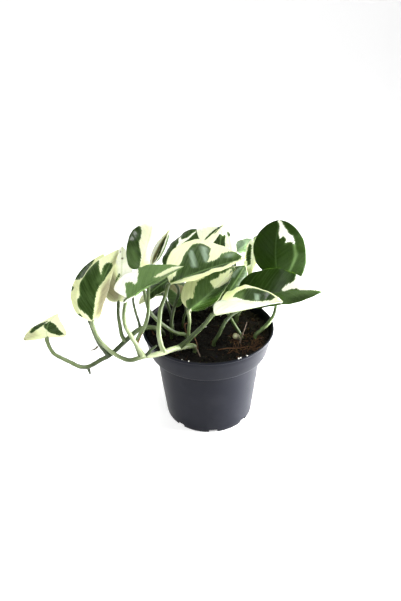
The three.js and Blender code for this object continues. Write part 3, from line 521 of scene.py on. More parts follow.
# Dry roots and sticks that stand out of the soil, point by point.
DRY_ROOTS = (
    dict(points=((-9.5, -31, 87.5), (-11, -32.5, 96), (-13.5, -31.5, 106)), radii=(0.5, 0.3),
         fibre=0.9, grit=0),
    dict(points=((-7.8, -40, 86), (-9.5, -37, 89.5), (-12, -34, 93)), radii=(0.6, 0.4), fibre=0.8,
         grit=0.12),
    dict(points=((27.5, -22, 86), (31, -19, 97), (34, -17, 106)), radii=(0.75, 0.4), fibre=0.8,
         grit=0.1),
    dict(points=((-48.5, -6, 84.6), (-51, -4.5, 89), (-55, -2, 94.7)), radii=(0.9, 0.5), fibre=1,
         grit=0),
    dict(points=((8, -30, 86), (16, -33, 89.5), (27, -31, 88), (35, -26, 86)), radii=(0.55, 0.4),
         fibre=1, grit=0),
    dict(points=((-20, -2, 85), (-22, 4, 91), (-19, 12, 88), (-14, 18, 85)), radii=(0.8, 0.6),
         fibre=0.8, grit=0),
)

# Colours that a finish is mixed from, beside those in the settings.
COLOURS = {
    # the first colour, the leaves' pale sheen, is a painted highlight
    "bloom": (0.34, 0.46, 0.33), "scorch": (0.07, 0.045, 0.015),
    "stalk_white": (0.66, 0.68, 0.47), "stalk_pale": (0.48, 0.54, 0.32),
    "stalk_green": (0.165, 0.22, 0.09), "stalk_dark": (0.03, 0.048, 0.014),
    # the pot's inside colour is painted shade in the hollow of the pot
    "cork": (0.16, 0.1, 0.045), "dust": (0.2, 0.2, 0.2), "pot_inside_shade": (0.003, 0.003, 0.0035),
    "peat_damp": (0.004, 0.0032, 0.0026), "peat_dry": (0.018, 0.012, 0.008),
    "peat_speck": (0.05, 0.032, 0.02), "fibre_dark": (0.05, 0.022, 0.011),
    "fibre_pale": (0.16, 0.085, 0.045), "grain_grey": (0.6, 0.58, 0.52),
    "grain_white": (0.86, 0.85, 0.8), "paper": (0.93, 0.93, 0.93),
}
LEAF_COLOURS = (("Deep Green", "deep_green"), ("Grey Green", "grey_green"), ("White", "white"),
                ("Yellow", "yellow"), ("Tan", "tan"))

# ---------------------------------------------------------------- settings


class PothosPotSettings(bpy.types.PropertyGroup):
    """Finish of the nursery pot."""

    colour: bpy.props.FloatVectorProperty(
        name="Plastic colour", description="Base colour of the pot", subtype="COLOR", size=3,
        min=0, max=1, default=(0.0095, 0.0104, 0.0155))
    gloss_low: bpy.props.FloatProperty(
        name="Least roughness", description="Roughness where the plastic is smoothest",
        default=0.3, min=0, max=1, subtype="FACTOR")
    gloss_high: bpy.props.FloatProperty(
        name="Most roughness", description="Roughness where the plastic is scuffed",
        default=0.46, min=0, max=1, subtype="FACTOR")


class PothosLeafSettings(bpy.types.PropertyGroup):
    """Colours and relief of the leaves."""

    deep_green: bpy.props.FloatVectorProperty(
        name="Deep green", description="Darkest green of a leaf", subtype="COLOR", size=3,
        min=0, max=1, default=(0.012, 0.029, 0.0025))
    grey_green: bpy.props.FloatVectorProperty(
        name="Grey green", description="Palest green of a leaf", subtype="COLOR", size=3,
        min=0, max=1, default=(0.15, 0.25, 0.085))
    white: bpy.props.FloatVectorProperty(
        name="White", description="Whitest variegation", subtype="COLOR", size=3,
        min=0, max=1, default=(0.86, 0.87, 0.77))
    yellow: bpy.props.FloatVectorProperty(
        name="Cream", description="Creamy variegation", subtype="COLOR", size=3,
        min=0, max=1, default=(0.71, 0.76, 0.42))
    # The tan also paints the shade on cream parts that face away from the light.
    tan: bpy.props.FloatVectorProperty(
        name="Tan", description="Variegation that leans to tan and olive", subtype="COLOR",
        size=3, min=0, max=1, default=(0.27, 0.25, 0.14))
    vein_spacing: bpy.props.FloatProperty(
        name="Vein spacing", description="Distance between side veins along the midrib",
        default=0.0062, min=0.002, max=0.02, unit="LENGTH")


class PothosStageSettings(bpy.types.PropertyGroup):
    """Camera and studio."""

    distance: bpy.props.FloatProperty(
        name="Camera distance", description="From the lens to the middle of the plant",
        default=0.46, min=0.1, max=5, unit="LENGTH")
    elevation: bpy.props.FloatProperty(
        name="Camera elevation", description="Angle above the horizon",
        default=math.radians(29.5), min=0, max=1.5, unit="ROTATION")
    roll: bpy.props.FloatProperty(
        name="Camera roll", description="Turn about the line of sight",
        default=math.radians(-1.22), min=-1, max=1, unit="ROTATION")
    focal_pixels: bpy.props.FloatProperty(
        name="Focal length in pixels", description="Focal length for a frame 601 pixels high",
        default=511.5, min=50, max=5000)
    key_power: bpy.props.FloatProperty(
        name="Key light", description="Power of the large soft light", default=9.5, min=0,
        max=1000, unit="POWER")


SETTINGS = {
    "pothos_pot": PothosPotSettings,
    "pothos_leaf": PothosLeafSettings,
    "pothos_stage": PothosStageSettings,
}

# ---------------------------------------------------------------- vector helpers


def unit(v):
    """v at length one."""
    v = np.asarray(v, float)
    return v / np.linalg.norm(v)


def smooth(low, high, x):
    """0 below low, 1 above high, eased between."""
    s = np.clip((x - low) / (high - low), 0, 1)
    return s * s * (3 - 2 * s)


def lerp(a, b, share):
    """From a to b."""
    return a + (b - a) * share


def outer_at(z):
    """Outside radius of the pot's body at height z."""
    return lerp(POT["foot"], POT["neck"], z / (POT["height"] - POT["collar"]))


def collar_at(z):
    """Outside radius of the pot's collar at height z."""
    share = (z - POT["height"] + POT["collar"]) / POT["collar"]
    return lerp(POT["collar_foot"], POT["rim"], share)


def soil_height(x, y):
    """Height of the frame's soil surface."""
    k = 2 * np.pi / SOIL["pitch"]
    waves = np.sin(0.37 * k * x + 0.9) + np.sin(0.33 * k * y - 0.5) + np.sin(0.5 * k * (x + y))
    return SOIL["top"] + SOIL["lump"] * waves / 2


# ---------------------------------------------------------------- mesh helpers


def add_piece(name, node, points, faces, material, attributes=None):
    """A mesh piece in millimetres that rides on the plant and stands for a node."""
    mesh = bpy.data.meshes.new(name)
    mesh.from_pydata((np.asarray(points) * MM).tolist(), [], faces)
    mesh.update()
    for key, values in (attributes or {}).items():
        values = np.asarray(values, float)
        kind = "FLOAT" if values.ndim == 1 else "FLOAT_VECTOR"
        layer = mesh.attributes.new(key, kind, "POINT")
        layer.data.foreach_set("value" if values.ndim == 1 else "vector", values.ravel())
    mesh.polygons.foreach_set("use_smooth", [True] * len(mesh.polygons))
    mesh.validate()
    piece = bpy.data.objects.new(name, mesh)
    bpy.context.scene.collection.objects.link(piece)
    mesh.materials.append(material)
    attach(piece, BODY)
    if node:
        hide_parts(node)
    return piece


class Parts:
    """Collects the points, faces and attributes of one piece."""

    def __init__(self, *keys):
        self.points, self.faces, self.count = [], [], 0
        self.attributes = {key: [] for key in keys}

    def add(self, points, faces, **values):
        """Adds a shell. A single value is given to all its points."""
        points = np.asarray(points, float)
        self.points.append(points)
        self.faces.extend([tuple(i + self.count for i in face) for face in faces])
        self.count += len(points)
        for key, store in self.attributes.items():
            value = np.asarray(values.get(key, 0), float)
            store.append(np.broadcast_to(value, (len(points), *value.shape[1:])).copy())

    def build(self, name, node, slot, material):
        """Makes the piece."""
        attributes = {key: np.concatenate(store) for key, store in self.attributes.items()}
        return add_piece(name, node, np.concatenate(self.points), self.faces, material,
                         attributes)


def ring_faces(rings, sides, outward=True):
    """The quads between rings of points that follow each other."""
    faces = []
    for i in range(rings - 1):
        for k in range(sides):
            a, b = i * sides + k, i * sides + (k + 1) % sides
            faces.append((a, b, b + sides, a + sides) if outward else (a, a + sides, b + sides, b))
    return faces


def spot_on_disc(rng, radius):
    """A random place on a disc, spread evenly over its area."""
    r, turn = radius * math.sqrt(rng.uniform(0, 1)), rng.uniform(0, 2 * math.pi)
    return r * math.cos(turn), r * math.sin(turn)


def tube(path, radii, sides):
    """Points and faces of a round tube with closed ends along a list of points."""
    path = np.asarray(path, float)
    radii = np.broadcast_to(np.asarray(radii, float), (len(path),))
    heading = np.gradient(path, axis=0)
    heading /= np.linalg.norm(heading, axis=1)[:, None]
    side = np.cross(heading[0], (0.3, 0.2, 0.93))
    rings = []
    for centre, ahead, radius in zip(path, heading, radii):
        side = unit(side - ahead * side.dot(ahead))
        over = np.cross(ahead, side)
        turn = np.linspace(0, 2 * np.pi, sides, endpoint=False)
        ring = np.outer(np.cos(turn), side) + np.outer(np.sin(turn), over)
        rings.append(centre + radius * ring)
    points = np.concatenate(rings + [path[:1], path[-1:]])
    faces = ring_faces(len(path), sides)
    last, foot, head = (len(path) - 1) * sides, len(points) - 2, len(points) - 1
    for k in range(sides):
        n = (k + 1) % sides
        faces += [(foot, n, k), (head, last + k, last + n)]
    return points, faces


def crumb(centre, size, rng, detail=5):
    """Points and faces of a lumpy crumb."""
    across = detail + 2
    stretch = rng.uniform(0.65, 1.2, 3)
    spin = Matrix.Rotation(rng.uniform(0, 6.28), 3, unit(rng.normal(size=3)).tolist())
    seed = Vector(rng.uniform(0, 50, 3).tolist())
    points = []
    for i in range(detail + 1):
        lift = math.pi * i / detail
        for k in range(across):
            turn = 2 * math.pi * k / across
            way = Vector((math.sin(lift) * math.cos(turn), math.sin(lift) * math.sin(turn),
                          math.cos(lift)))
            swell = 1 + 0.45 * noise.noise(way * 1.6 + seed)
            shaped = Vector((way[0] * stretch[0], way[1] * stretch[1], way[2] * stretch[2]))
            points.append(spin @ (shaped * size * swell) + Vector(centre))
    return np.array([list(p) for p in points]), ring_faces(detail + 1, across, outward=False)


def curve_through(points, per_span=24):
    """A dense centripetal Catmull-Rom curve through the points, as the frame's stalks use."""
    p = [np.asarray(q, float) for q in points]
    p = [2 * p[0] - p[1]] + p + [2 * p[-1] - p[-2]]
    dense = []
    for k in range(1, len(p) - 2):
        d0, d1, d2 = (max(np.linalg.norm(p[k + j] - p[k + j - 1]) ** 0.5, 1e-4)
                      for j in (0, 1, 2))
        into = (p[k] - p[k - 1]) / d0 - (p[k + 1] - p[k - 1]) / (d0 + d1) + (p[k + 1] - p[k]) / d1
        out = (p[k + 1] - p[k]) / d1 - (p[k + 2] - p[k]) / (d1 + d2) + (p[k + 2] - p[k + 1]) / d2
        into, out = into * d1, out * d1
        for s in np.linspace(0, 1, per_span, endpoint=False):
            dense.append(p[k] + into * s + (3 * (p[k + 1] - p[k]) - 2 * into - out) * s ** 2
                         + (2 * (p[k] - p[k + 1]) + into + out) * s ** 3)
    dense.append(p[-2])
    return np.array(dense)


def resample(path, step):
    """The path at an even step, with its ends kept, and each point's share of the length."""
    length = np.concatenate([[0], np.cumsum(np.linalg.norm(np.diff(path, axis=0), axis=1))])
    count = max(4, int(round(length[-1] / step)))
    at = np.linspace(0, length[-1], count + 1)
    even = np.stack([np.interp(at, length, path[:, k]) for k in range(3)], axis=1)
    return even, at / length[-1]


# ---------------------------------------------------------------- shader helpers


def new_material(name):
    """A new node material, its Nodes and its Principled BSDF."""
    material = bpy.data.materials.new(name)
    material.use_nodes = True
    tree = material.node_tree
    return material, Nodes(tree), tree.nodes["Principled BSDF"]


class Nodes:
    """Short ways to add and join shader nodes."""

    def __init__(self, tree):
        self.tree = tree

    def new(self, kind, **settings):
        """A new node with its settings."""
        node = self.tree.nodes.new(kind)
        for key, value in settings.items():
            setattr(node, key, value)
        return node

    def put(self, source, target):
        """Sets a socket, or links another socket into it."""
        if isinstance(source, bpy.types.NodeSocket):
            self.tree.links.new(source, target)
        else:
            target.default_value = source

    def math(self, operation, *values, clamp=False):
        """One sum, difference or product of numbers and sockets."""
        node = self.new("ShaderNodeMath", operation=operation, use_clamp=clamp)
        for value, socket in zip(values, node.inputs):
            self.put(value, socket)
        return node.outputs[0]

    def ramp(self, value, from_low, from_high, to_low=0.0, to_high=1.0, eased=True):
        """A value moved from one range to another, eased at its ends or straight."""
        node = self.new("ShaderNodeMapRange")
        node.interpolation_type = "SMOOTHSTEP" if eased else "LINEAR"
        for index, given in enumerate((value, from_low, from_high, to_low, to_high)):
            self.put(given, node.inputs[index])
        return node.outputs[0]

    def mix(self, factor, low, high, blend="MIX"):
        """Two colours mixed."""
        node = self.new("ShaderNodeMix", data_type="RGBA", blend_type=blend)
        self.put(factor, node.inputs[0])
        self.put(self.colour(low), node.inputs[6])
        self.put(self.colour(high), node.inputs[7])
        return node.outputs[2]

    @staticmethod
    def colour(value):
        """A colour of three numbers with its alpha, or the socket as it is."""
        return value if isinstance(value, bpy.types.NodeSocket) else (*tuple(value)[:3], 1)

    def attribute(self, name, output="Fac"):
        """A field that was painted on the mesh."""
        return self.new("ShaderNodeAttribute", attribute_name=name).outputs[output]

    def noise(self, vector, scale, detail=3.0, roughness=0.55):
        """A noise value at a place."""
        node = self.new("ShaderNodeTexNoise")
        self.put(vector, node.inputs["Vector"])
        node.inputs["Scale"].default_value = scale
        node.inputs["Detail"].default_value = detail
        node.inputs["Roughness"].default_value = roughness
        return node.outputs[0]

    def scaled(self, vector, scale):
        """A vector times another, axis by axis."""
        node = self.new("ShaderNodeVectorMath", operation="MULTIPLY")
        self.put(vector, node.inputs[0])
        self.put(scale, node.inputs[1])
        return node.outputs[0]

    def place(self):
        """The point's own place in the frame, in metres."""
        return self.new("ShaderNodeNewGeometry").outputs["Position"]

    def swing(self, value, amount):
        """A noise value as a swing about zero, amount times as wide."""
        return self.math("MULTIPLY", self.math("SUBTRACT", value, 0.5), amount)

    def relief(self, shader, height, strength, distance):
        """Lets a height shape the shader's normal."""
        bump = self.new("ShaderNodeBump")
        bump.inputs["Strength"].default_value = strength
        bump.inputs["Distance"].default_value = distance
        self.put(height, bump.inputs["Height"])
        self.put(bump.outputs[0], shader.inputs["Normal"])


def let_light_in(shader, weight, radius, scale):
    """Lets light into a soft green part."""
    shader.inputs["Subsurface Weight"].default_value = weight
    shader.inputs["Subsurface Radius"].default_value = radius
    shader.inputs["Subsurface Scale"].default_value = scale


def effect(name, inputs, outputs):
    """A new shader node group with its sockets: the group, its Nodes, its input and output."""
    group = bpy.data.node_groups.new(name, "ShaderNodeTree")
    for socket, kind, default in inputs:
        item = group.interface.new_socket(socket, in_out="INPUT", socket_type=kind)
        item.default_value = default
    for socket, kind in outputs:
        group.interface.new_socket(socket, in_out="OUTPUT", socket_type=kind)
    nodes = Nodes(group)
    return group, nodes, nodes.new("NodeGroupInput"), nodes.new("NodeGroupOutput")


FLOAT, COLOUR = "NodeSocketFloat", "NodeSocketColor"


def vein_effect():
    """Side veins and the mottling between them, from the leaf's own places."""
    group, n, source, result = effect(
        "Leaf Veins",
        (("Spacing", FLOAT, 6.2),),
        (("Vein", FLOAT), ("Midrib", FLOAT), ("Mottle", FLOAT), ("Fine", FLOAT),
         ("Ragged", FLOAT)))
    place = n.attribute("vein_place", "Vector")
    split = n.new("ShaderNodeSeparateXYZ")
    n.put(place, split.inputs[0])
    across, along = split.outputs[0], split.outputs[1]
    wander = n.noise(n.scaled(place, (0.05, 0.05, 1)), 1.0, 2.0)
    wandered = n.math("ADD", along, n.swing(wander, 3.0))
    cell = n.math("PINGPONG", wandered, n.math("MULTIPLY", source.outputs["Spacing"], 0.5))
    fade = n.ramp(across, 1.0, 26.0, 1.0, 0.35)
    vein = n.math("MULTIPLY", n.ramp(cell, 0.0, 0.42, 1.0, 0.0), fade)
    n.put(vein, result.inputs["Vein"])
    n.put(n.ramp(across, 0.35, 1.0, 1.0, 0.0), result.inputs["Midrib"])
    n.put(n.noise(n.scaled(place, (0.07, 0.5, 1)), 1.0, 3.0), result.inputs["Mottle"])
    n.put(n.noise(n.scaled(place, (0.9, 1.6, 1)), 1.0, 4.0, 0.65), result.inputs["Fine"])
    jagged = n.noise(n.scaled(place, (0.16, 0.95, 1)), 1.0, 3.0, 0.6)
    n.put(n.math("SUBTRACT", jagged, 0.5), result.inputs["Ragged"])
    return group


def variegation_effect(veins):
    """The colour of a leaf from its painted fields."""
    group, n, source, result = effect(
        "Variegation",
        (*((socket, COLOUR, (0.5, 0.5, 0.5, 1)) for socket, _ in LEAF_COLOURS),
         ("Vein Spacing", FLOAT, 6.2)),
        (("Color", COLOUR), ("Vein", FLOAT), ("Fine", FLOAT), ("Midrib", FLOAT)))
    given = source.outputs
    vein_node = n.new("ShaderNodeGroup", node_tree=veins)
    n.put(given["Vein Spacing"], vein_node.inputs["Spacing"])
    vein = vein_node.outputs
    patch, tone = n.attribute("patch"), n.attribute("tone")
    blush, scorch, under = n.attribute("blush"), n.attribute("scorch"), n.attribute("under")
    ragged = n.math("MULTIPLY", vein["Ragged"], n.attribute("ragged"))
    edge = n.math("ADD", patch, n.math("MULTIPLY", ragged, 3.4))
    green = n.ramp(edge, -0.22, 0.22)
    halo = n.ramp(edge, -0.1, 1.5, 0.36, 0.0)
    mottle = n.swing(vein["Mottle"], n.ramp(n.attribute("veins"), 0.0, 0.6, 0.1, 0.6))
    shade = n.math("ADD", tone, mottle)
    shade = n.math("ADD", shade, halo, clamp=True)
    leafy = n.mix(shade, given["Deep Green"], given["Grey Green"])
    # painted highlight: the sheen field mixes the green toward a pale film
    leafy = n.mix(n.attribute("bloom"), leafy, COLOURS["bloom"])
    lines = n.math("MULTIPLY", vein["Vein"], n.attribute("veins"))
    leafy = n.mix(n.math("MULTIPLY", lines, 0.16), leafy, given["Grey Green"])
    # blush towards tan is the cream's own warmth and also painted shade on cream turned from the light
    warm_and_shade = n.math("ADD", blush, n.swing(vein["Mottle"], 0.3))
    pale = n.mix(n.ramp(warm_and_shade, 0.0, 0.5, eased=False), given["White"], given["Yellow"])
    pale = n.mix(n.ramp(warm_and_shade, 0.5, 1.0, eased=False), pale, given["Tan"])
    pale = n.mix(n.math("MULTIPLY", lines, 0.1), pale, given["Grey Green"])
    colour = n.mix(green, pale, leafy)
    rib = n.math("MULTIPLY", vein["Midrib"], n.ramp(n.attribute("veins"), 0.0, 1.0, 0.12, 0.6))
    rib_colour = n.mix(green, n.mix(0.4, given["Yellow"], given["Grey Green"]),
                       given["Grey Green"])
    colour = n.mix(rib, colour, rib_colour)
    colour = n.mix(n.math("MULTIPLY", under, 0.32), colour, given["Grey Green"])
    grain = n.ramp(vein["Fine"], 0.3, 0.7, 0.9, 1.08, eased=False)
    tint = n.new("ShaderNodeCombineColor")
    for socket in tint.inputs:
        n.put(grain, socket)
    colour = n.mix(1.0, colour, tint.outputs[0], "MULTIPLY")
    colour = n.mix(scorch, colour, COLOURS["scorch"])
    n.put(colour, result.inputs["Color"])
    for key in ("Vein", "Fine", "Midrib"):
        n.put(vein[key], result.inputs[key])
    return group


def leaf_material(name, group):
    """Leaf skin: a glossy coat as strong as the blade's wax, fine relief from the veins."""
    settings = bpy.context.scene.pothos_leaf
    material, n, shader = new_material(name)
    colouring = n.new("ShaderNodeGroup", node_tree=group)
    for socket, key in LEAF_COLOURS:
        colouring.inputs[socket].default_value = (*getattr(settings, key), 1)
    colouring.inputs["Vein Spacing"].default_value = settings.vein_spacing / MM
    out = colouring.outputs
    n.put(out["Color"], shader.inputs["Base Color"])
    rough = n.ramp(out["Fine"], 0.3, 0.7, 0.24, 0.36, eased=False)
    rough = n.math("ADD", rough, n.math("MULTIPLY", n.attribute("under"), 0.2))
    n.put(rough, shader.inputs["Roughness"])
    lines = n.math("MULTIPLY", out["Vein"], n.attribute("veins"))
    height = n.math("SUBTRACT", n.math("MULTIPLY", out["Fine"], 0.5),
                    n.math("MULTIPLY", lines, 0.8))
    height = n.math("SUBTRACT", height, n.math("MULTIPLY", out["Midrib"], 0.4))
    n.relief(shader, height, 0.35, 0.0004)
    let_light_in(shader, 0.12, (0.9, 1.0, 0.3), 0.0012)
    shader.inputs["Specular IOR Level"].default_value = 0.06
    n.put(n.attribute("wax"), shader.inputs["Coat Weight"])
    shader.inputs["Coat Roughness"].default_value = 0.27
    return material


def stem_material():
    """Soft green stalk: streaks along it, pale and dark places, brown cork where it is old."""
    material, n, shader = new_material("stem_skin")
    place = n.attribute("stalk_place", "Vector")
    streak = n.noise(n.scaled(place, (0.6, 0.03, 1)), 1.0, 3.0, 0.6)
    blotch = n.noise(n.scaled(place, (0.6, 0.12, 1)), 1.0, 2.0)
    shade = n.math("ADD", n.attribute("dark"), n.swing(blotch, 0.7))
    shade = n.math("ADD", shade, n.swing(streak, 2.8))
    colour = n.mix(n.ramp(shade, -1.0, 0.0, eased=False), COLOURS["stalk_pale"],
                   COLOURS["stalk_green"])
    colour = n.mix(n.ramp(shade, -2.2, -1.4, eased=False), COLOURS["stalk_white"], colour)
    colour = n.mix(n.ramp(shade, 0.0, 1.0, eased=False), colour, COLOURS["stalk_dark"])
    colour = n.mix(n.attribute("cork"), colour, COLOURS["cork"])
    n.put(colour, shader.inputs["Base Color"])
    n.put(n.ramp(streak, 0.3, 0.7, 0.36, 0.5), shader.inputs["Roughness"])
    n.relief(shader, streak, 0.4, 0.0003)
    let_light_in(shader, 0.1, (0.8, 1.0, 0.3), 0.001)
    shader.inputs["Specular IOR Level"].default_value = 0.36
    return material


def plastic_material():
    """Satin moulded plastic: fine grain, faint drag lines, a little dust, painted shade inside."""
    settings = bpy.context.scene.pothos_pot
    material, n, shader = new_material("pot_plastic_satin")
    place = n.place()
    grain = n.noise(place, 1400.0, 2.0)
    haze = n.noise(place, 38.0, 4.0, 0.6)
    drag = n.noise(n.scaled(place, (30, 30, 900)), 1.0, 3.0)
    dusty = n.math("MULTIPLY", n.ramp(haze, 0.45, 0.8), 0.03)
    base = n.mix(n.ramp(haze, 0.3, 0.7, 0.0, 0.15), settings.colour,
                 tuple(1.5 * c for c in settings.colour))
    base = n.mix(dusty, base, COLOURS["dust"])
    # painted shade: faces that look in towards the pot's axis are darkened almost to black
    facing = n.new("ShaderNodeVectorMath", operation="DOT_PRODUCT")
    n.put(n.scaled(place, (1, 1, 0)), facing.inputs[0])
    n.put(n.new("ShaderNodeNewGeometry").outputs["Normal"], facing.inputs[1])
    inner = n.ramp(facing.outputs["Value"], -0.05, -0.02, 0.85, 0.0)
    n.put(n.mix(inner, base, COLOURS["pot_inside_shade"]), shader.inputs["Base Color"])
    rough = n.ramp(n.math("ADD", n.math("MULTIPLY", haze, 0.7), n.math("MULTIPLY", drag, 0.3)),
                   0.35, 0.7, settings.gloss_low, settings.gloss_high, eased=False)
    n.put(rough, shader.inputs["Roughness"])
    n.relief(shader, n.math("ADD", grain, n.math("MULTIPLY", drag, 0.8)), 0.25, 0.0001)
    shader.inputs["Specular IOR Level"].default_value = 0.07
    return material


def soil_material():
    """Damp peat, drier to the right, with brown fibres and white grains by attribute."""
    material, n, shader = new_material("peat")
    place = n.place()
    coarse = n.noise(place, 260.0, 4.0, 0.65)
    fine = n.noise(place, 1300.0, 3.0, 0.6)
    split = n.new("ShaderNodeSeparateXYZ")
    n.put(place, split.inputs[0])
    dry = n.math("ADD", split.outputs["X"], n.math("MULTIPLY", coarse, 0.02))
    dry = n.ramp(dry, 0.022, 0.05, 0.12, 1.0)
    peat = n.mix(n.math("MULTIPLY", n.ramp(coarse, 0.35, 0.7), dry),
                 COLOURS["peat_damp"], COLOURS["peat_dry"])
    peat = n.mix(n.math("MULTIPLY", n.ramp(fine, 0.6, 0.72, 0.0, 0.5), dry), peat,
                 COLOURS["peat_speck"])
    fibre = n.mix(coarse, COLOURS["fibre_dark"], COLOURS["fibre_pale"])
    colour = n.mix(n.attribute("fibre"), peat, fibre)
    grain = n.mix(fine, COLOURS["grain_grey"], COLOURS["grain_white"])
    colour = n.mix(n.attribute("grit"), colour, grain)
    n.put(colour, shader.inputs["Base Color"])
    n.put(n.ramp(coarse, 0.3, 0.7, 0.72, 0.95), shader.inputs["Roughness"])
    n.relief(shader, n.math("ADD", coarse, n.math("MULTIPLY", fine, 0.5)), 0.8, 0.0006)
    shader.inputs["Specular IOR Level"].default_value = 0.12
    return material


def paper_material():
    """Matt paper for the floor that glows faintly, painted light that keeps it white."""
    material, n, shader = new_material("paper")
    tooth = n.noise(n.place(), 220.0, 2.0)
    shadow = tuple(0.99 * c for c in COLOURS["paper"])
    n.put(n.mix(tooth, COLOURS["paper"], shadow), shader.inputs["Base Color"])
    shader.inputs["Roughness"].default_value = 0.9
    shader.inputs["Specular IOR Level"].default_value = 0.1
    shader.inputs["Emission Color"].default_value = (1, 1, 1, 1)
    shader.inputs["Emission Strength"].default_value = 0.35
    return material


# ---------------------------------------------------------------- leaf shape


def leaf_frame(name):
    """The blade's numbers with its own axes: forward to the tip, up out of its face."""
    leaf = {**LEAF_DEFAULTS, **LEAVES[name]}
    leaf["start"] = np.array(leaf["base"], float)
    way = np.array(leaf["tip"], float) - leaf["start"]
    leaf["length"] = np.linalg.norm(way)
    leaf["forward"] = way / leaf["length"]
    face = np.array(leaf["face"], float)
    leaf["up"] = unit(face - leaf["forward"] * face.dot(leaf["forward"]))
    leaf["side"] = np.cross(leaf["forward"], leaf["up"])
    return leaf


def half_width(leaf, t):
    """Half the blade's width at t, drawn to a point at the tip."""
    rise, taper = leaf["power"]
    widest = rise / (rise + taper)
    peak = widest ** rise * (1 - widest) ** taper
    least = lerp(BLADE["least_half"], BLADE["tip_half"], smooth(0.6, 1, t))
    return np.maximum(least, leaf["width"] / 2 * t ** rise * (1 - t) ** taper / peak)


def blade_points(leaf, t, q):
    """Points of the blade's middle surface for arrays t and q."""
    half = leaf["width"] / 2
    wide = half_width(leaf, t)
    right = (q >= 0).astype(int)
    sign = np.where(q < 0, -1.0, 1.0)
    reach = np.abs(q) * wide * (1 + sign * leaf["skew"])
    opening = np.clip((wide - BLADE["least_half"]) / BLADE["fold_fade"], 0, 1)
    fold, curl = np.array(leaf["fold"])[right], np.array(leaf["curl"])[right]
    angle = np.radians(fold + curl * reach / half) * opening
    height, waves, phase = leaf["wave"]
    ripple = height * q * q * (wide / half) * np.sin(2 * np.pi * waves * t + phase + 1.3 * right)
    ripple += 0.35 * q ** 4 * (wide / half) * np.sin(2 * np.pi * 6.5 * t + 2.1 * right + phase)
    across = sign * reach * np.cos(angle)
    lift = reach * np.sin(angle) + ripple
    lobe = np.array(leaf["lobe"])[right]
    back = lobe * (1 - t) ** 3 * np.abs(q) ** 1.3 * np.minimum(1, 1.5 * wide / half)
    along = t - back + BLADE["sweep"] * t * (1 - t) * np.abs(q)
    turn = np.radians(leaf["twist"]) * (t - 0.35)
    bow = 4 * t * (1 - t) * leaf["length"]
    return (leaf["start"] + np.multiply.outer(leaf["length"] * along, leaf["forward"])
            + np.multiply.outer(bow * leaf["bend"] + across * np.cos(turn) - lift * np.sin(turn),
                                leaf["side"])
            + np.multiply.outer(bow * leaf["arch"] + across * np.sin(turn) + lift * np.cos(turn),
                                leaf["up"]))


def outline_on_blade(leaf, corners):
    """A patch's corners (t, q) as a fine outline in mm, since the blade's width changes along it."""
    fine = []
    for (t0, q0), (t1, q1) in zip(corners, corners[1:] + corners[:1]):
        for share in np.arange(8) / 8:
            t, q = lerp(t0, t1, share), lerp(q0, q1, share)
            fine.append((t * leaf["length"], q * float(half_width(leaf, np.clip(t, 0.01, 0.99)))))
    return fine


def distance_inside(x, y, corners):
    """Signed distance to a polygon for arrays x and y, positive inside."""
    nearest = np.full(x.shape, 1e9)
    inside = np.zeros(x.shape, bool)
    for (x0, y0), (x1, y1) in zip(corners, corners[1:] + corners[:1]):
        dx, dy = x1 - x0, y1 - y0
        s = np.clip(((x - x0) * dx + (y - y0) * dy) / max(dx * dx + dy * dy, 1e-9), 0, 1)
        nearest = np.minimum(nearest, np.hypot(x - x0 - s * dx, y - y0 - s * dy))
        crosses = (y0 > y) != (y1 > y)
        slope = dx / dy if abs(dy) > 1e-9 else 0.0
        inside ^= crosses & (x < x0 + (y - y0) * slope)
    return np.where(inside, nearest, -nearest)


def leaf_fields(leaf, look, t, q, offset):
    """The painted fields of a blade at t and q, as arrays."""
    wide = half_width(leaf, t)
    along = t * leaf["length"]
    across = q * wide
    sign = 1 if look["ground"] == "green" else -1
    fields = {
        "patch": np.full(t.shape, 9.0 * sign),
        "tone": np.full(t.shape, float(look["tone"])),
        "blush": np.full(t.shape, float(look["blush"])),
        "scorch": np.zeros(t.shape),
        "veins": np.full(t.shape, float(look["veins"])),
        "wax": np.full(t.shape, float(look["wax"])),
        "bloom": np.full(t.shape, float(look["bloom"])),
    }
    for kind, corners in look["areas"]:
        depth = distance_inside(along, across, outline_on_blade(leaf, corners))
        if kind == "green":
            fields["patch"] = np.maximum(fields["patch"], depth)
        elif kind == "cream":
            fields["patch"] = np.minimum(fields["patch"], -depth)
        else:
            key, value, softness = kind
            weight = smooth(-softness, softness, depth)
            fields[key] = lerp(fields[key], value, weight)
    if look["rim"]:
        fields["patch"] = np.minimum(fields["patch"], (1 - np.abs(q)) * wide - look["rim"])
    for spot_t, spot_q, radius in look["spots"]:
        spot_wide = float(half_width(leaf, np.array(spot_t)))
        gap = np.hypot(along - spot_t * leaf["length"], across - spot_q * spot_wide)
        fields["scorch"] = np.maximum(fields["scorch"], 1 - smooth(radius * 0.6, radius * 1.25, gap))
    out = np.abs(across)
    fields["vein_place"] = np.stack([out, along - 0.72 * out - 0.008 * out * out,
                                     np.full(t.shape, offset)], axis=-1)
    fields["ragged"] = look["ragged"] * smooth(0.3, 3, (1 - np.abs(q)) * wide)
    fields["across"] = out
    fields["wide"] = wide
    return fields


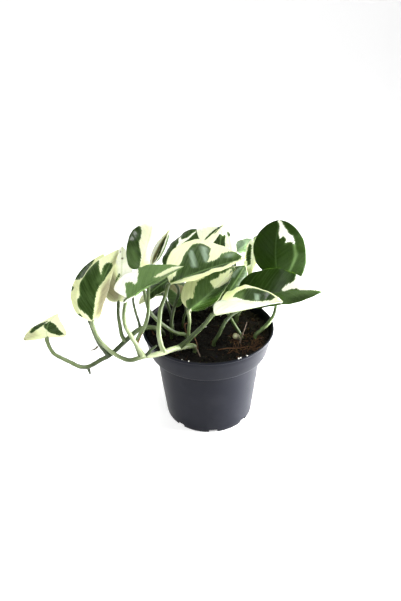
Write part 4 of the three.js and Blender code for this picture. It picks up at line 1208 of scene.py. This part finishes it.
def leaf_mesh(name, offset, material, spacing):
    """One blade: puckered between its side veins, grooved along the midrib, keeled below."""
    leaf = leaf_frame(name)
    look = {**LOOK_DEFAULTS, **LOOKS[name]}
    rows, columns = BLADE["rows"], 2 * BLADE["columns"]
    t = (1 - np.cos(np.pi * np.arange(rows + 1) / rows)) / 2
    q = np.linspace(-1, 1, columns + 1)
    t, q = np.meshgrid(t, q, indexing="ij")
    middle = blade_points(leaf, t, q)
    ahead = np.gradient(middle[:, columns // 2], axis=0)[:, None]
    normal = np.cross(np.gradient(middle, axis=1), ahead)
    normal /= np.linalg.norm(normal, axis=-1, keepdims=True)
    fields = leaf_fields(leaf, look, t, q, offset)
    across, wide = fields.pop("across"), fields.pop("wide")
    vein = fields["vein_place"][..., 1] / spacing
    swell = np.abs(np.sin(np.pi * (vein + 0.12 * np.sin(1.7 * vein + offset)))) ** 0.8 - 0.55
    window = smooth(0.8, 5, across) * (1 - smooth(0.72, 1, np.abs(q))) * smooth(2, 8, wide)
    relief = look["pucker"] * swell * window
    relief -= 0.28 * np.exp(-(across / 0.8) ** 2) * (1 - t) ** 0.5
    edge = np.sqrt(np.clip(1 - np.abs(q) ** 12, 0, 1))
    half = (BLADE["half_thickness"] * edge + 0.03) * np.clip(wide / 2, 0.25, 1)
    keel = (BLADE["rib"] + 0.2) * (1 - t) * np.exp(-(across / 0.9) ** 2)
    top = middle + normal * (relief + half)[..., None]
    bottom = middle + normal * (relief - half - keel)[..., None]
    points = np.concatenate([top.reshape(-1, 3), bottom.reshape(-1, 3)])
    faces = blade_faces(rows, columns)
    attributes = {}
    for key, values in fields.items():
        flat = values.reshape((-1, 3) if values.ndim == 3 else -1)
        attributes[key] = np.concatenate([flat, flat])
    count = (rows + 1) * (columns + 1)
    attributes["under"] = np.concatenate([np.zeros(count), np.ones(count)])
    return add_piece(f"{name}_blade", name, points, faces, material, attributes)


def blade_faces(rows, columns):
    """Upper, lower and edge faces of a blade's grid."""
    below = (rows + 1) * (columns + 1)
    faces = []
    for i in range(rows):
        for j in range(columns):
            a, b = i * (columns + 1) + j, i * (columns + 1) + j + 1
            c, d = b + columns + 1, a + columns + 1
            faces += [(a, b, c, d), (a + below, d + below, c + below, b + below)]
    rim = list(range(columns))
    rim += [i * (columns + 1) + columns for i in range(rows)]
    rim += [rows * (columns + 1) + j for j in range(columns, 0, -1)]
    rim += [i * (columns + 1) for i in range(rows, 0, -1)]
    for a, b in zip(rim, rim[1:] + rim[:1]):
        faces.append((b, a, a + below, b + below))
    return faces


# ---------------------------------------------------------------- stems


def stalk_path(stalk):
    """The points of a stalk from its hole in the soil, or its parent, to its blade."""
    points = [np.array(p, float) for p in stalk["path"]]
    if "foot" in stalk:
        x, y = stalk["foot"]
        depth, top = SOIL["root_depth"], SOIL["top"]
        points = [np.array((x, y, z)) for z in (top - depth, top - depth / 3, top + 2)] + points
    if "leaf" in stalk:
        leaf = leaf_frame(stalk["leaf"])
        heading = unit(leaf["start"] - points[-1])
        slant = np.linalg.norm(np.cross(heading, leaf["forward"]))
        points.append(leaf["start"] - leaf["forward"] * (JOINT["gap"] + stalk["radius"][1] * slant)
                      - leaf["up"] * BLADE["rib"] / 2)
    path = curve_through(points)
    if "leaf" in stalk:
        root = leaf["start"] + leaf["forward"] * JOINT["overlap"] - leaf["up"] * JOINT["sink"]
        path = np.concatenate([path, [lerp(path[-1], root, 0.5), root]])
    return path


def stalk_shell(stalk, index, parts):
    """One stalk: tapered, thicker where it leaves its parent and just below its blade."""
    path, share = resample(stalk_path(stalk), STALK["step"])
    first, last = stalk["radius"]
    radius = lerp(first, last, share)
    length = len(path) * STALK["step"]
    along = share * length
    if "leaf" in stalk:
        radius += 0.28 * np.exp(-((length - 5 - along) / 3.5) ** 2)
        radius *= 1 - 0.45 * smooth(length - 3, length, along)
    if "foot" not in stalk and not stalk.get("stub"):
        radius += 0.5 * np.exp(-(along / 3) ** 2)
    radius += 0.07 * np.sin(along * 0.9 + index) + 0.05 * np.sin(along * 2.3)
    sides = STALK["sides"]
    points, faces = tube(path, radius, sides)
    turn = np.tile(np.linspace(0, 2 * np.pi, sides, endpoint=False), len(path))
    lengthwise = np.repeat(along, sides)
    own = index * STALK["own_streaks"]
    place = np.stack([turn, lengthwise, np.full(turn.shape, own)], axis=1)
    place = np.concatenate([place, [[0, 0, own], [0, length, own]]])
    # the dark profile: the stalk's own colouring along with painted shade where it lies in shadow
    shade = np.atleast_1d(stalk.get("dark", 0))
    shade = np.interp(share, np.linspace(0, 1, len(shade)), shade)
    dark = np.concatenate([np.repeat(shade, sides), shade[[0, -1]]])
    dark += 0.35 * np.concatenate([np.repeat(1 - smooth(0, 22, along), sides), [1, 0]])
    cork = np.zeros(len(points))
    if stalk.get("stub"):
        last_ring = -sides - 2
        dark[:] = STUB["dark"]
        cork[:] = STUB["cork"]
        cork[last_ring:] = STUB["edge_cork"]
        cork[-1] = STUB["cut_cork"]
    parts.add(points, faces, stalk_place=place, dark=dark, cork=cork)


def growth_shell(growth, parts):
    """A small growth on a vine."""
    path, share = resample(curve_through(growth["points"]), STALK["growth_step"])
    radii = np.interp(share, np.linspace(0, 1, len(growth["radii"])), growth["radii"])
    points, faces = tube(path, radii, STALK["growth_sides"])
    parts.add(points, faces, stalk_place=points[:, [0, 2, 1]], dark=growth["dark"],
              cork=growth["cork"])


# ---------------------------------------------------------------- operators


class PothosOperator:
    """Shared by every step of the build."""

    bl_options = {"REGISTER", "UNDO"}

    def execute(self, context):
        """Runs the step."""
        self.build(context)
        return {"FINISHED"}


def cached(name, make):
    """The material of that name, made the first time it is asked for."""
    return bpy.data.materials.get(name) or make()


class POTHOS_OT_pot(PothosOperator, bpy.types.Operator):
    """Build the nursery pot with its rolled edge, collar and drainage slots"""

    bl_idname = "pothos.pot"
    bl_label = "Pot"

    def build(self, context):
        top, collar_z = POT["height"], POT["height"] - POT["collar"]
        wall, step = POT["wall"], POT["collar_step"]
        bead_low = top - POT["bead_height"]
        profile = [
            (0.01, 0), (20, 0), (36, 0), (POT["foot"] - POT["chamfer"] - 0.3, 0),
            (POT["foot"] - 0.35, 0.25), (outer_at(POT["chamfer"]), POT["chamfer"]),
            (outer_at(2.4), 2.4), (outer_at(3.1) + 0.12, 3.1), (outer_at(5) + 0.02, 5),
            (outer_at(20), 20), (outer_at(40), 40), (outer_at(58), 58),
            (POT["neck"] - 0.25, collar_z - 1.6), (POT["neck"], collar_z - 0.3),
            (POT["neck"] + 0.5, collar_z), (POT["collar_foot"] - 0.7, collar_z + step),
            (POT["collar_foot"] - 0.05, collar_z + step + 0.35),
            (POT["collar_foot"] + 0.25, collar_z + step + 1.2),
            (collar_at(collar_z + 2.6) - 0.02, collar_z + 2.6),
            (collar_at(collar_z + 8), collar_z + 8), (collar_at(collar_z + 15), collar_z + 15),
            (collar_at(bead_low - 0.4), bead_low - 0.4), (collar_at(bead_low) - 0.12, bead_low),
            (POT["bead"] - 0.18, bead_low + 0.5), (POT["bead"], bead_low + 1.1),
            (POT["bead"] - 0.05, top - 0.65), (POT["bead"] - 0.4, top - 0.15),
            (POT["bead"] - 0.95, top), (POT["rim"] - wall + 0.25, top - 0.08),
            (POT["rim"] - wall - 0.1, top - 0.5), (collar_at(top - 6) - wall, top - 6),
            (POT["collar_foot"] - wall, collar_z + step + wall),
            (POT["neck"] - wall, collar_z + wall), (outer_at(30) - wall, 30),
            (outer_at(POT["floor"]) - wall - 0.6, POT["floor"]), (20, POT["floor"]),
            (0.01, POT["floor"]),
        ]
        sides = POT["sides"]
        turn = np.linspace(0, 2 * np.pi, sides, endpoint=False)
        rings = [np.stack([r * np.cos(turn), r * np.sin(turn), np.full(sides, z)], axis=1)
                 for r, z in profile]
        points = np.concatenate(rings)
        faces = ring_faces(len(profile), sides)
        faces.append(tuple(reversed(range(sides))))
        faces.append(tuple(range(len(points) - sides, len(points))))
        pot = add_piece("nursery_pot", "pot", points, faces,
                        cached("pot_plastic_satin", plastic_material))
        self.cut_slots(context, pot)

    @staticmethod
    def cut_slots(context, pot):
        """Cuts the drainage slots through the bottom corner with rounded boxes."""
        reach = POT["foot"] + 4 - DRAIN["inner"]
        cutter_mesh = bpy.data.meshes.new("slot_cutter")
        points, faces = [], []
        corner = 0.9
        outline = []
        for sx, sz, start in ((1, 1, 0), (-1, 1, 90), (-1, -1, 180), (1, -1, 270)):
            for turn in (0, 30, 60, 90):
                angle = math.radians(start + turn)
                outline.append((sx * (DRAIN["width"] / 2 - corner) + corner * math.cos(angle),
                                sz * (DRAIN["height"] - corner) + corner * math.sin(angle)))
        count = len(outline)
        for i in range(DRAIN["count"]):
            turn = math.radians(DRAIN["turn"] + i * 360 / DRAIN["count"])
            spin = Matrix.Rotation(turn, 3, "Z")
            first = len(points)
            for x in (DRAIN["inner"], DRAIN["inner"] + reach):
                points += [spin @ Vector((x, y, z)) * MM for y, z in outline]
            faces.append(tuple(first + k for k in reversed(range(count))))
            faces.append(tuple(first + count + k for k in range(count)))
            for k in range(count):
                n = (k + 1) % count
                faces.append((first + k, first + n, first + count + n, first + count + k))
        cutter_mesh.from_pydata(points, [], faces)
        cutter = bpy.data.objects.new("slot_cutter", cutter_mesh)
        context.scene.collection.objects.link(cutter)
        cut = pot.modifiers.new("slots", "BOOLEAN")
        cut.operation, cut.object, cut.solver = "DIFFERENCE", cutter, "EXACT"
        context.view_layer.update()
        shaped = bpy.data.meshes.new_from_object(
            pot.evaluated_get(context.evaluated_depsgraph_get()))
        pot.modifiers.clear()
        pot.data = shaped
        bpy.data.objects.remove(cutter)
        shaped.set_sharp_from_angle(angle=math.radians(48))


class POTHOS_OT_soil(PothosOperator, bpy.types.Operator):
    """Fill the pot with lumpy peat, fibres, white grains and dry roots"""

    bl_idname = "pothos.soil"
    bl_label = "Soil"

    def build(self, context):
        rng = np.random.default_rng(7)
        parts = Parts("fibre", "grit")
        self.surface(parts)
        self.crumbs(parts, rng)
        self.fibres(parts, rng)
        self.grains(parts, rng)
        self.dry_roots(parts)
        parts.build("peat_fill", "soil", "soil", cached("peat", soil_material))

    @staticmethod
    def height(x, y):
        """The soil's surface with its lumps."""
        spot = Vector((x * 0.11, y * 0.11, 3.7))
        lump = noise.fractal(spot, 0.7, 2.1, 5) * 1.5
        grain = noise.noise(Vector((x * 0.62, y * 0.62, 9.1))) * 0.65
        return float(soil_height(x, y)) + lump + grain - 0.2

    def surface(self, parts):
        """The lumpy top of the peat, with its hidden sides and bottom."""
        rings, sides = PEAT["rings"], PEAT["sides"]
        radius = collar_at(SOIL["top"]) - POT["wall"] - SOIL["gap"]
        points = []
        for i in range(1, rings + 1):
            r = radius * (i / rings) ** 0.8
            for k in range(sides):
                turn = 2 * math.pi * k / sides
                x, y = r * math.cos(turn), r * math.sin(turn)
                edge = smooth(radius - 4, radius, r)
                points.append((x, y, lerp(self.height(x, y), SOIL["top"] - 0.6, edge)))
        wall_gap = POT["wall"] + SOIL["gap"]
        collar_z = POT["height"] - POT["collar"]
        lower = ((POT["collar_foot"] - wall_gap, collar_z + POT["wall"] + 1.1),
                 (POT["neck"] - wall_gap, collar_z + POT["wall"] + SOIL["gap"]),
                 (outer_at(2.6) - wall_gap, POT["floor"] + SOIL["gap"]))
        for r, z in lower:
            for k in range(sides):
                turn = 2 * math.pi * k / sides
                points.append((r * math.cos(turn), r * math.sin(turn), z))
        faces = [tuple(range(sides)), *ring_faces(rings + len(lower), sides, outward=False)]
        faces.append(tuple(reversed(range(len(points) - sides, len(points)))))
        parts.add(points, faces)

    def crumbs(self, parts, rng):
        """Crumbs strewn over the peat, browner to the right."""
        for _ in range(PEAT["crumbs"]):
            x, y = spot_on_disc(rng, PEAT["reach"] + 0.5)
            size = 0.5 + 1.5 * rng.uniform(0, 1) ** 2.2
            points, faces = crumb((x, y, self.height(x, y) + 0.2 * size), size, rng)
            brown = max(0, rng.uniform(-0.8, 0.45))
            parts.add(points, faces, fibre=brown * smooth(0, 25, x))

    def fibres(self, parts, rng):
        """Short fibres, two in three of them in the dry patch at the front right."""
        reach = PEAT["reach"]
        for index in range(PEAT["fibres"]):
            x, y = spot_on_disc(rng, reach - 2)
            in_dry_patch = index % 3 > 0
            if in_dry_patch:
                x, y = rng.uniform(18, 48), rng.uniform(-34, -4)
            heading, bend = rng.uniform(0, 2 * math.pi), rng.uniform(-0.5, 0.5)
            length, rise = rng.uniform(3, 11), rng.uniform(0, 1.2)
            path = []
            for s in np.linspace(0, 1, 6):
                way = heading + bend * s * 2
                px = x + math.cos(way) * length * (s - 0.5)
                py = y + math.sin(way) * length * (s - 0.5)
                out = math.hypot(px, py)
                if out > reach:
                    px, py = px * reach / out, py * reach / out
                path.append((px, py, self.height(px, py) + 0.35 + rise * math.sin(math.pi * s)))
            points, faces = tube(path, np.linspace(0.24, 0.1, 6) * rng.uniform(0.7, 1.5), 5)
            parts.add(points, faces, fibre=rng.uniform(0.5, 1) * (1 if in_dry_patch else 0.5))

    def grains(self, parts, rng):
        """White grains on the peat and on the edge of the pot."""
        for _ in range(PEAT["grains"]):
            x, y = spot_on_disc(rng, PEAT["reach"] - 3)
            size = rng.uniform(0.4, 1.25)
            points, faces = crumb((x, y, self.height(x, y) + 0.5), size, rng)
            parts.add(points, faces, grit=rng.uniform(0.6, 1))
        for angle, size, inset in RIM_GRAINS:
            r, turn = POT["rim"] - inset, math.radians(angle)
            centre = (r * math.cos(turn), r * math.sin(turn), POT["height"] + size * 0.25)
            points, faces = crumb(centre, size, rng, detail=6)
            parts.add(points, faces, grit=1)

    def dry_roots(self, parts):
        """Dry roots and sticks that taper from one end to the other."""
        for root in DRY_ROOTS:
            path, _ = resample(curve_through(root["points"]), 1.2)
            radii = lerp(*root["radii"], np.linspace(0, 1, len(path)))
            points, faces = tube(path, radii, 8)
            parts.add(points, faces, fibre=root["fibre"], grit=root["grit"])


class POTHOS_OT_stems(PothosOperator, bpy.types.Operator):
    """Grow the two vines, the stalks and the rear shoots"""

    bl_idname = "pothos.stems"
    bl_label = "Stems"

    def build(self, context):
        material = cached("stem_skin", stem_material)
        keys = ("stalk_place", "dark", "cork")
        for number, (name, stalks) in enumerate(STEMS.items()):
            parts = Parts(*keys)
            for index, stalk in enumerate(stalks):
                stalk_shell(stalk, 10 * number + index, parts)
            parts.build(f"{name}_stem", name, "stem", material)
            for index, growth in enumerate(VINE_EXTRAS.get(name, ())):
                parts = Parts(*keys)
                growth_shell(growth, parts)
                parts.build(f"{name}_growth_{index + 1}", None, "stem", material)


class POTHOS_OT_leaves(PothosOperator, bpy.types.Operator):
    """Shape and paint every leaf"""

    bl_idname = "pothos.leaves"
    bl_label = "Leaves"

    def build(self, context):
        colouring = variegation_effect(vein_effect())
        spacing = context.scene.pothos_leaf.vein_spacing / MM
        for number, name in enumerate(LEAVES):
            slot = "leaf_cream" if name in CREAM_LEAVES else "leaf_green"
            key = f"{slot}_waxy"
            material = cached(key, lambda: leaf_material(key, colouring))
            leaf_mesh(name, 3.7 * (number + 1), material, spacing)


class POTHOS_OT_stage(PothosOperator, bpy.types.Operator):
    """Set the camera, the pale floor and the soft studio light"""

    bl_idname = "pothos.stage"
    bl_label = "Stage"

    TARGET = Vector((-0.0065, 0, 0.1193))
    FRAME_HEIGHT = 601
    SENSOR = 36
    WORLD_STRENGTH = 0.22

    # Soft lights: name, place, what it aims at, width and height, and its share of the power.
    LIGHTS = (
        ("key", (-0.42, -0.8, 1.2), TARGET, (0.45, 0.45), 1.3),
        ("side", (1.0, -0.15, 0.75), TARGET, (0.4, 0.4), 0.5),
        ("top", (0.1, 0.3, 1.5), TARGET, (0.8, 0.8), 1.35),
        ("low", (0.4, 0.03, 0.07), (0.05, 0, 0.03), (0.3, 0.1), 1.3),
    )

    # The floor in metres: half its width, its front edge, where it starts to curve up, the
    # radius of that curve and the height that it reaches.
    FLOOR = {"half": 2.2, "front": -1.6, "bend": 1.2, "radius": 0.8, "top": 2.6, "steps": 12}

    def build(self, context):
        self.camera(context)
        self.floor()
        self.lights(context)

    def camera(self, context):
        """The camera in front of the plant, a little above it."""
        stage = context.scene.pothos_stage
        lift = stage.elevation
        back = Vector((0, -math.cos(lift), math.sin(lift)))
        over = Vector((0, math.sin(lift), math.cos(lift)))
        right = Vector((1, 0, 0))
        roll = stage.roll
        right, over = (math.cos(roll) * right + math.sin(roll) * over,
                       math.cos(roll) * over - math.sin(roll) * right)
        data = bpy.data.cameras.new("studio_camera")
        data.sensor_fit = "VERTICAL"
        data.sensor_height = self.SENSOR
        data.lens = stage.focal_pixels * self.SENSOR / self.FRAME_HEIGHT
        data.clip_start, data.clip_end = 0.01, 20
        camera = bpy.data.objects.new("studio_camera", data)
        context.scene.collection.objects.link(camera)
        turn = Matrix((right, over, back)).transposed().to_4x4()
        camera.matrix_world = Matrix.Translation(self.TARGET + back * stage.distance) @ turn
        context.scene.camera = camera

    def floor(self):
        """A wide floor that curves up far behind the plant."""
        half, bend, radius = self.FLOOR["half"], self.FLOOR["bend"], self.FLOOR["radius"]
        profile = [(self.FLOOR["front"], 0), (bend, 0)]
        for k in range(self.FLOOR["steps"]):
            angle = math.pi / 2 * (k + 1) / self.FLOOR["steps"]
            profile.append((bend + radius * math.sin(angle), radius * (1 - math.cos(angle))))
        profile.append((bend + radius, self.FLOOR["top"]))
        points = []
        for y, z in profile:
            points += [(-half, y, z), (half, y, z)]
        faces = [(2 * i, 2 * i + 1, 2 * i + 3, 2 * i + 2) for i in range(len(profile) - 1)]
        mesh = bpy.data.meshes.new("paper_floor")
        mesh.from_pydata(points, [], faces)
        mesh.polygons.foreach_set("use_smooth", [True] * len(mesh.polygons))
        mesh.materials.append(paper_material())
        floor = bpy.data.objects.new("paper_floor", mesh)
        bpy.context.scene.collection.objects.link(floor)

    def lights(self, context):
        """A pale world and the soft lights."""
        world = bpy.data.worlds.new("studio")
        world.use_nodes = True
        background = world.node_tree.nodes["Background"]
        background.inputs["Color"].default_value = (1, 1, 1, 1)
        background.inputs["Strength"].default_value = self.WORLD_STRENGTH
        context.scene.world = world
        power = context.scene.pothos_stage.key_power
        for name, place, aim, size, share in self.LIGHTS:
            data = bpy.data.lights.new(f"{name}_light", "AREA")
            data.shape, data.energy = "RECTANGLE", power * share
            data.size, data.size_y = size
            light = bpy.data.objects.new(f"{name}_light", data)
            light.location = place
            way = Vector(aim) - Vector(place)
            light.rotation_euler = way.to_track_quat("-Z", "Y").to_euler()
            context.scene.collection.objects.link(light)
        context.scene.view_settings.view_transform = "Standard"


STEPS = (POTHOS_OT_pot, POTHOS_OT_soil, POTHOS_OT_stems, POTHOS_OT_leaves, POTHOS_OT_stage)


class POTHOS_PT_panel(bpy.types.Panel):
    """Lists the steps and the settings"""

    bl_idname = "POTHOS_PT_panel"
    bl_label = "Potted Pothos"
    bl_space_type = "VIEW_3D"
    bl_region_type = "UI"
    bl_category = "Pothos"

    def draw(self, context):
        for step in STEPS:
            self.layout.operator(step.bl_idname)
        for key, group in SETTINGS.items():
            box = self.layout.box()
            for name in group.__annotations__:
                box.prop(getattr(context.scene, key), name)


CLASSES = (*SETTINGS.values(), *STEPS, POTHOS_PT_panel)


def register():
    """Registers the classes and their settings."""
    for cls in CLASSES:
        bpy.utils.register_class(cls)
    for key, group in SETTINGS.items():
        setattr(bpy.types.Scene, key, bpy.props.PointerProperty(type=group))


def unregister():
    """Takes the classes and their settings out again."""
    for key in SETTINGS:
        delattr(bpy.types.Scene, key)
    for cls in reversed(CLASSES):
        bpy.utils.unregister_class(cls)


def main():
    """Builds the dressed plant."""
    register()
    bpy.ops.pothos.stage()
    bpy.ops.pothos.pot()
    bpy.ops.pothos.soil()
    bpy.ops.pothos.stems()
    bpy.ops.pothos.leaves()


if __name__ == "__main__":
    main()
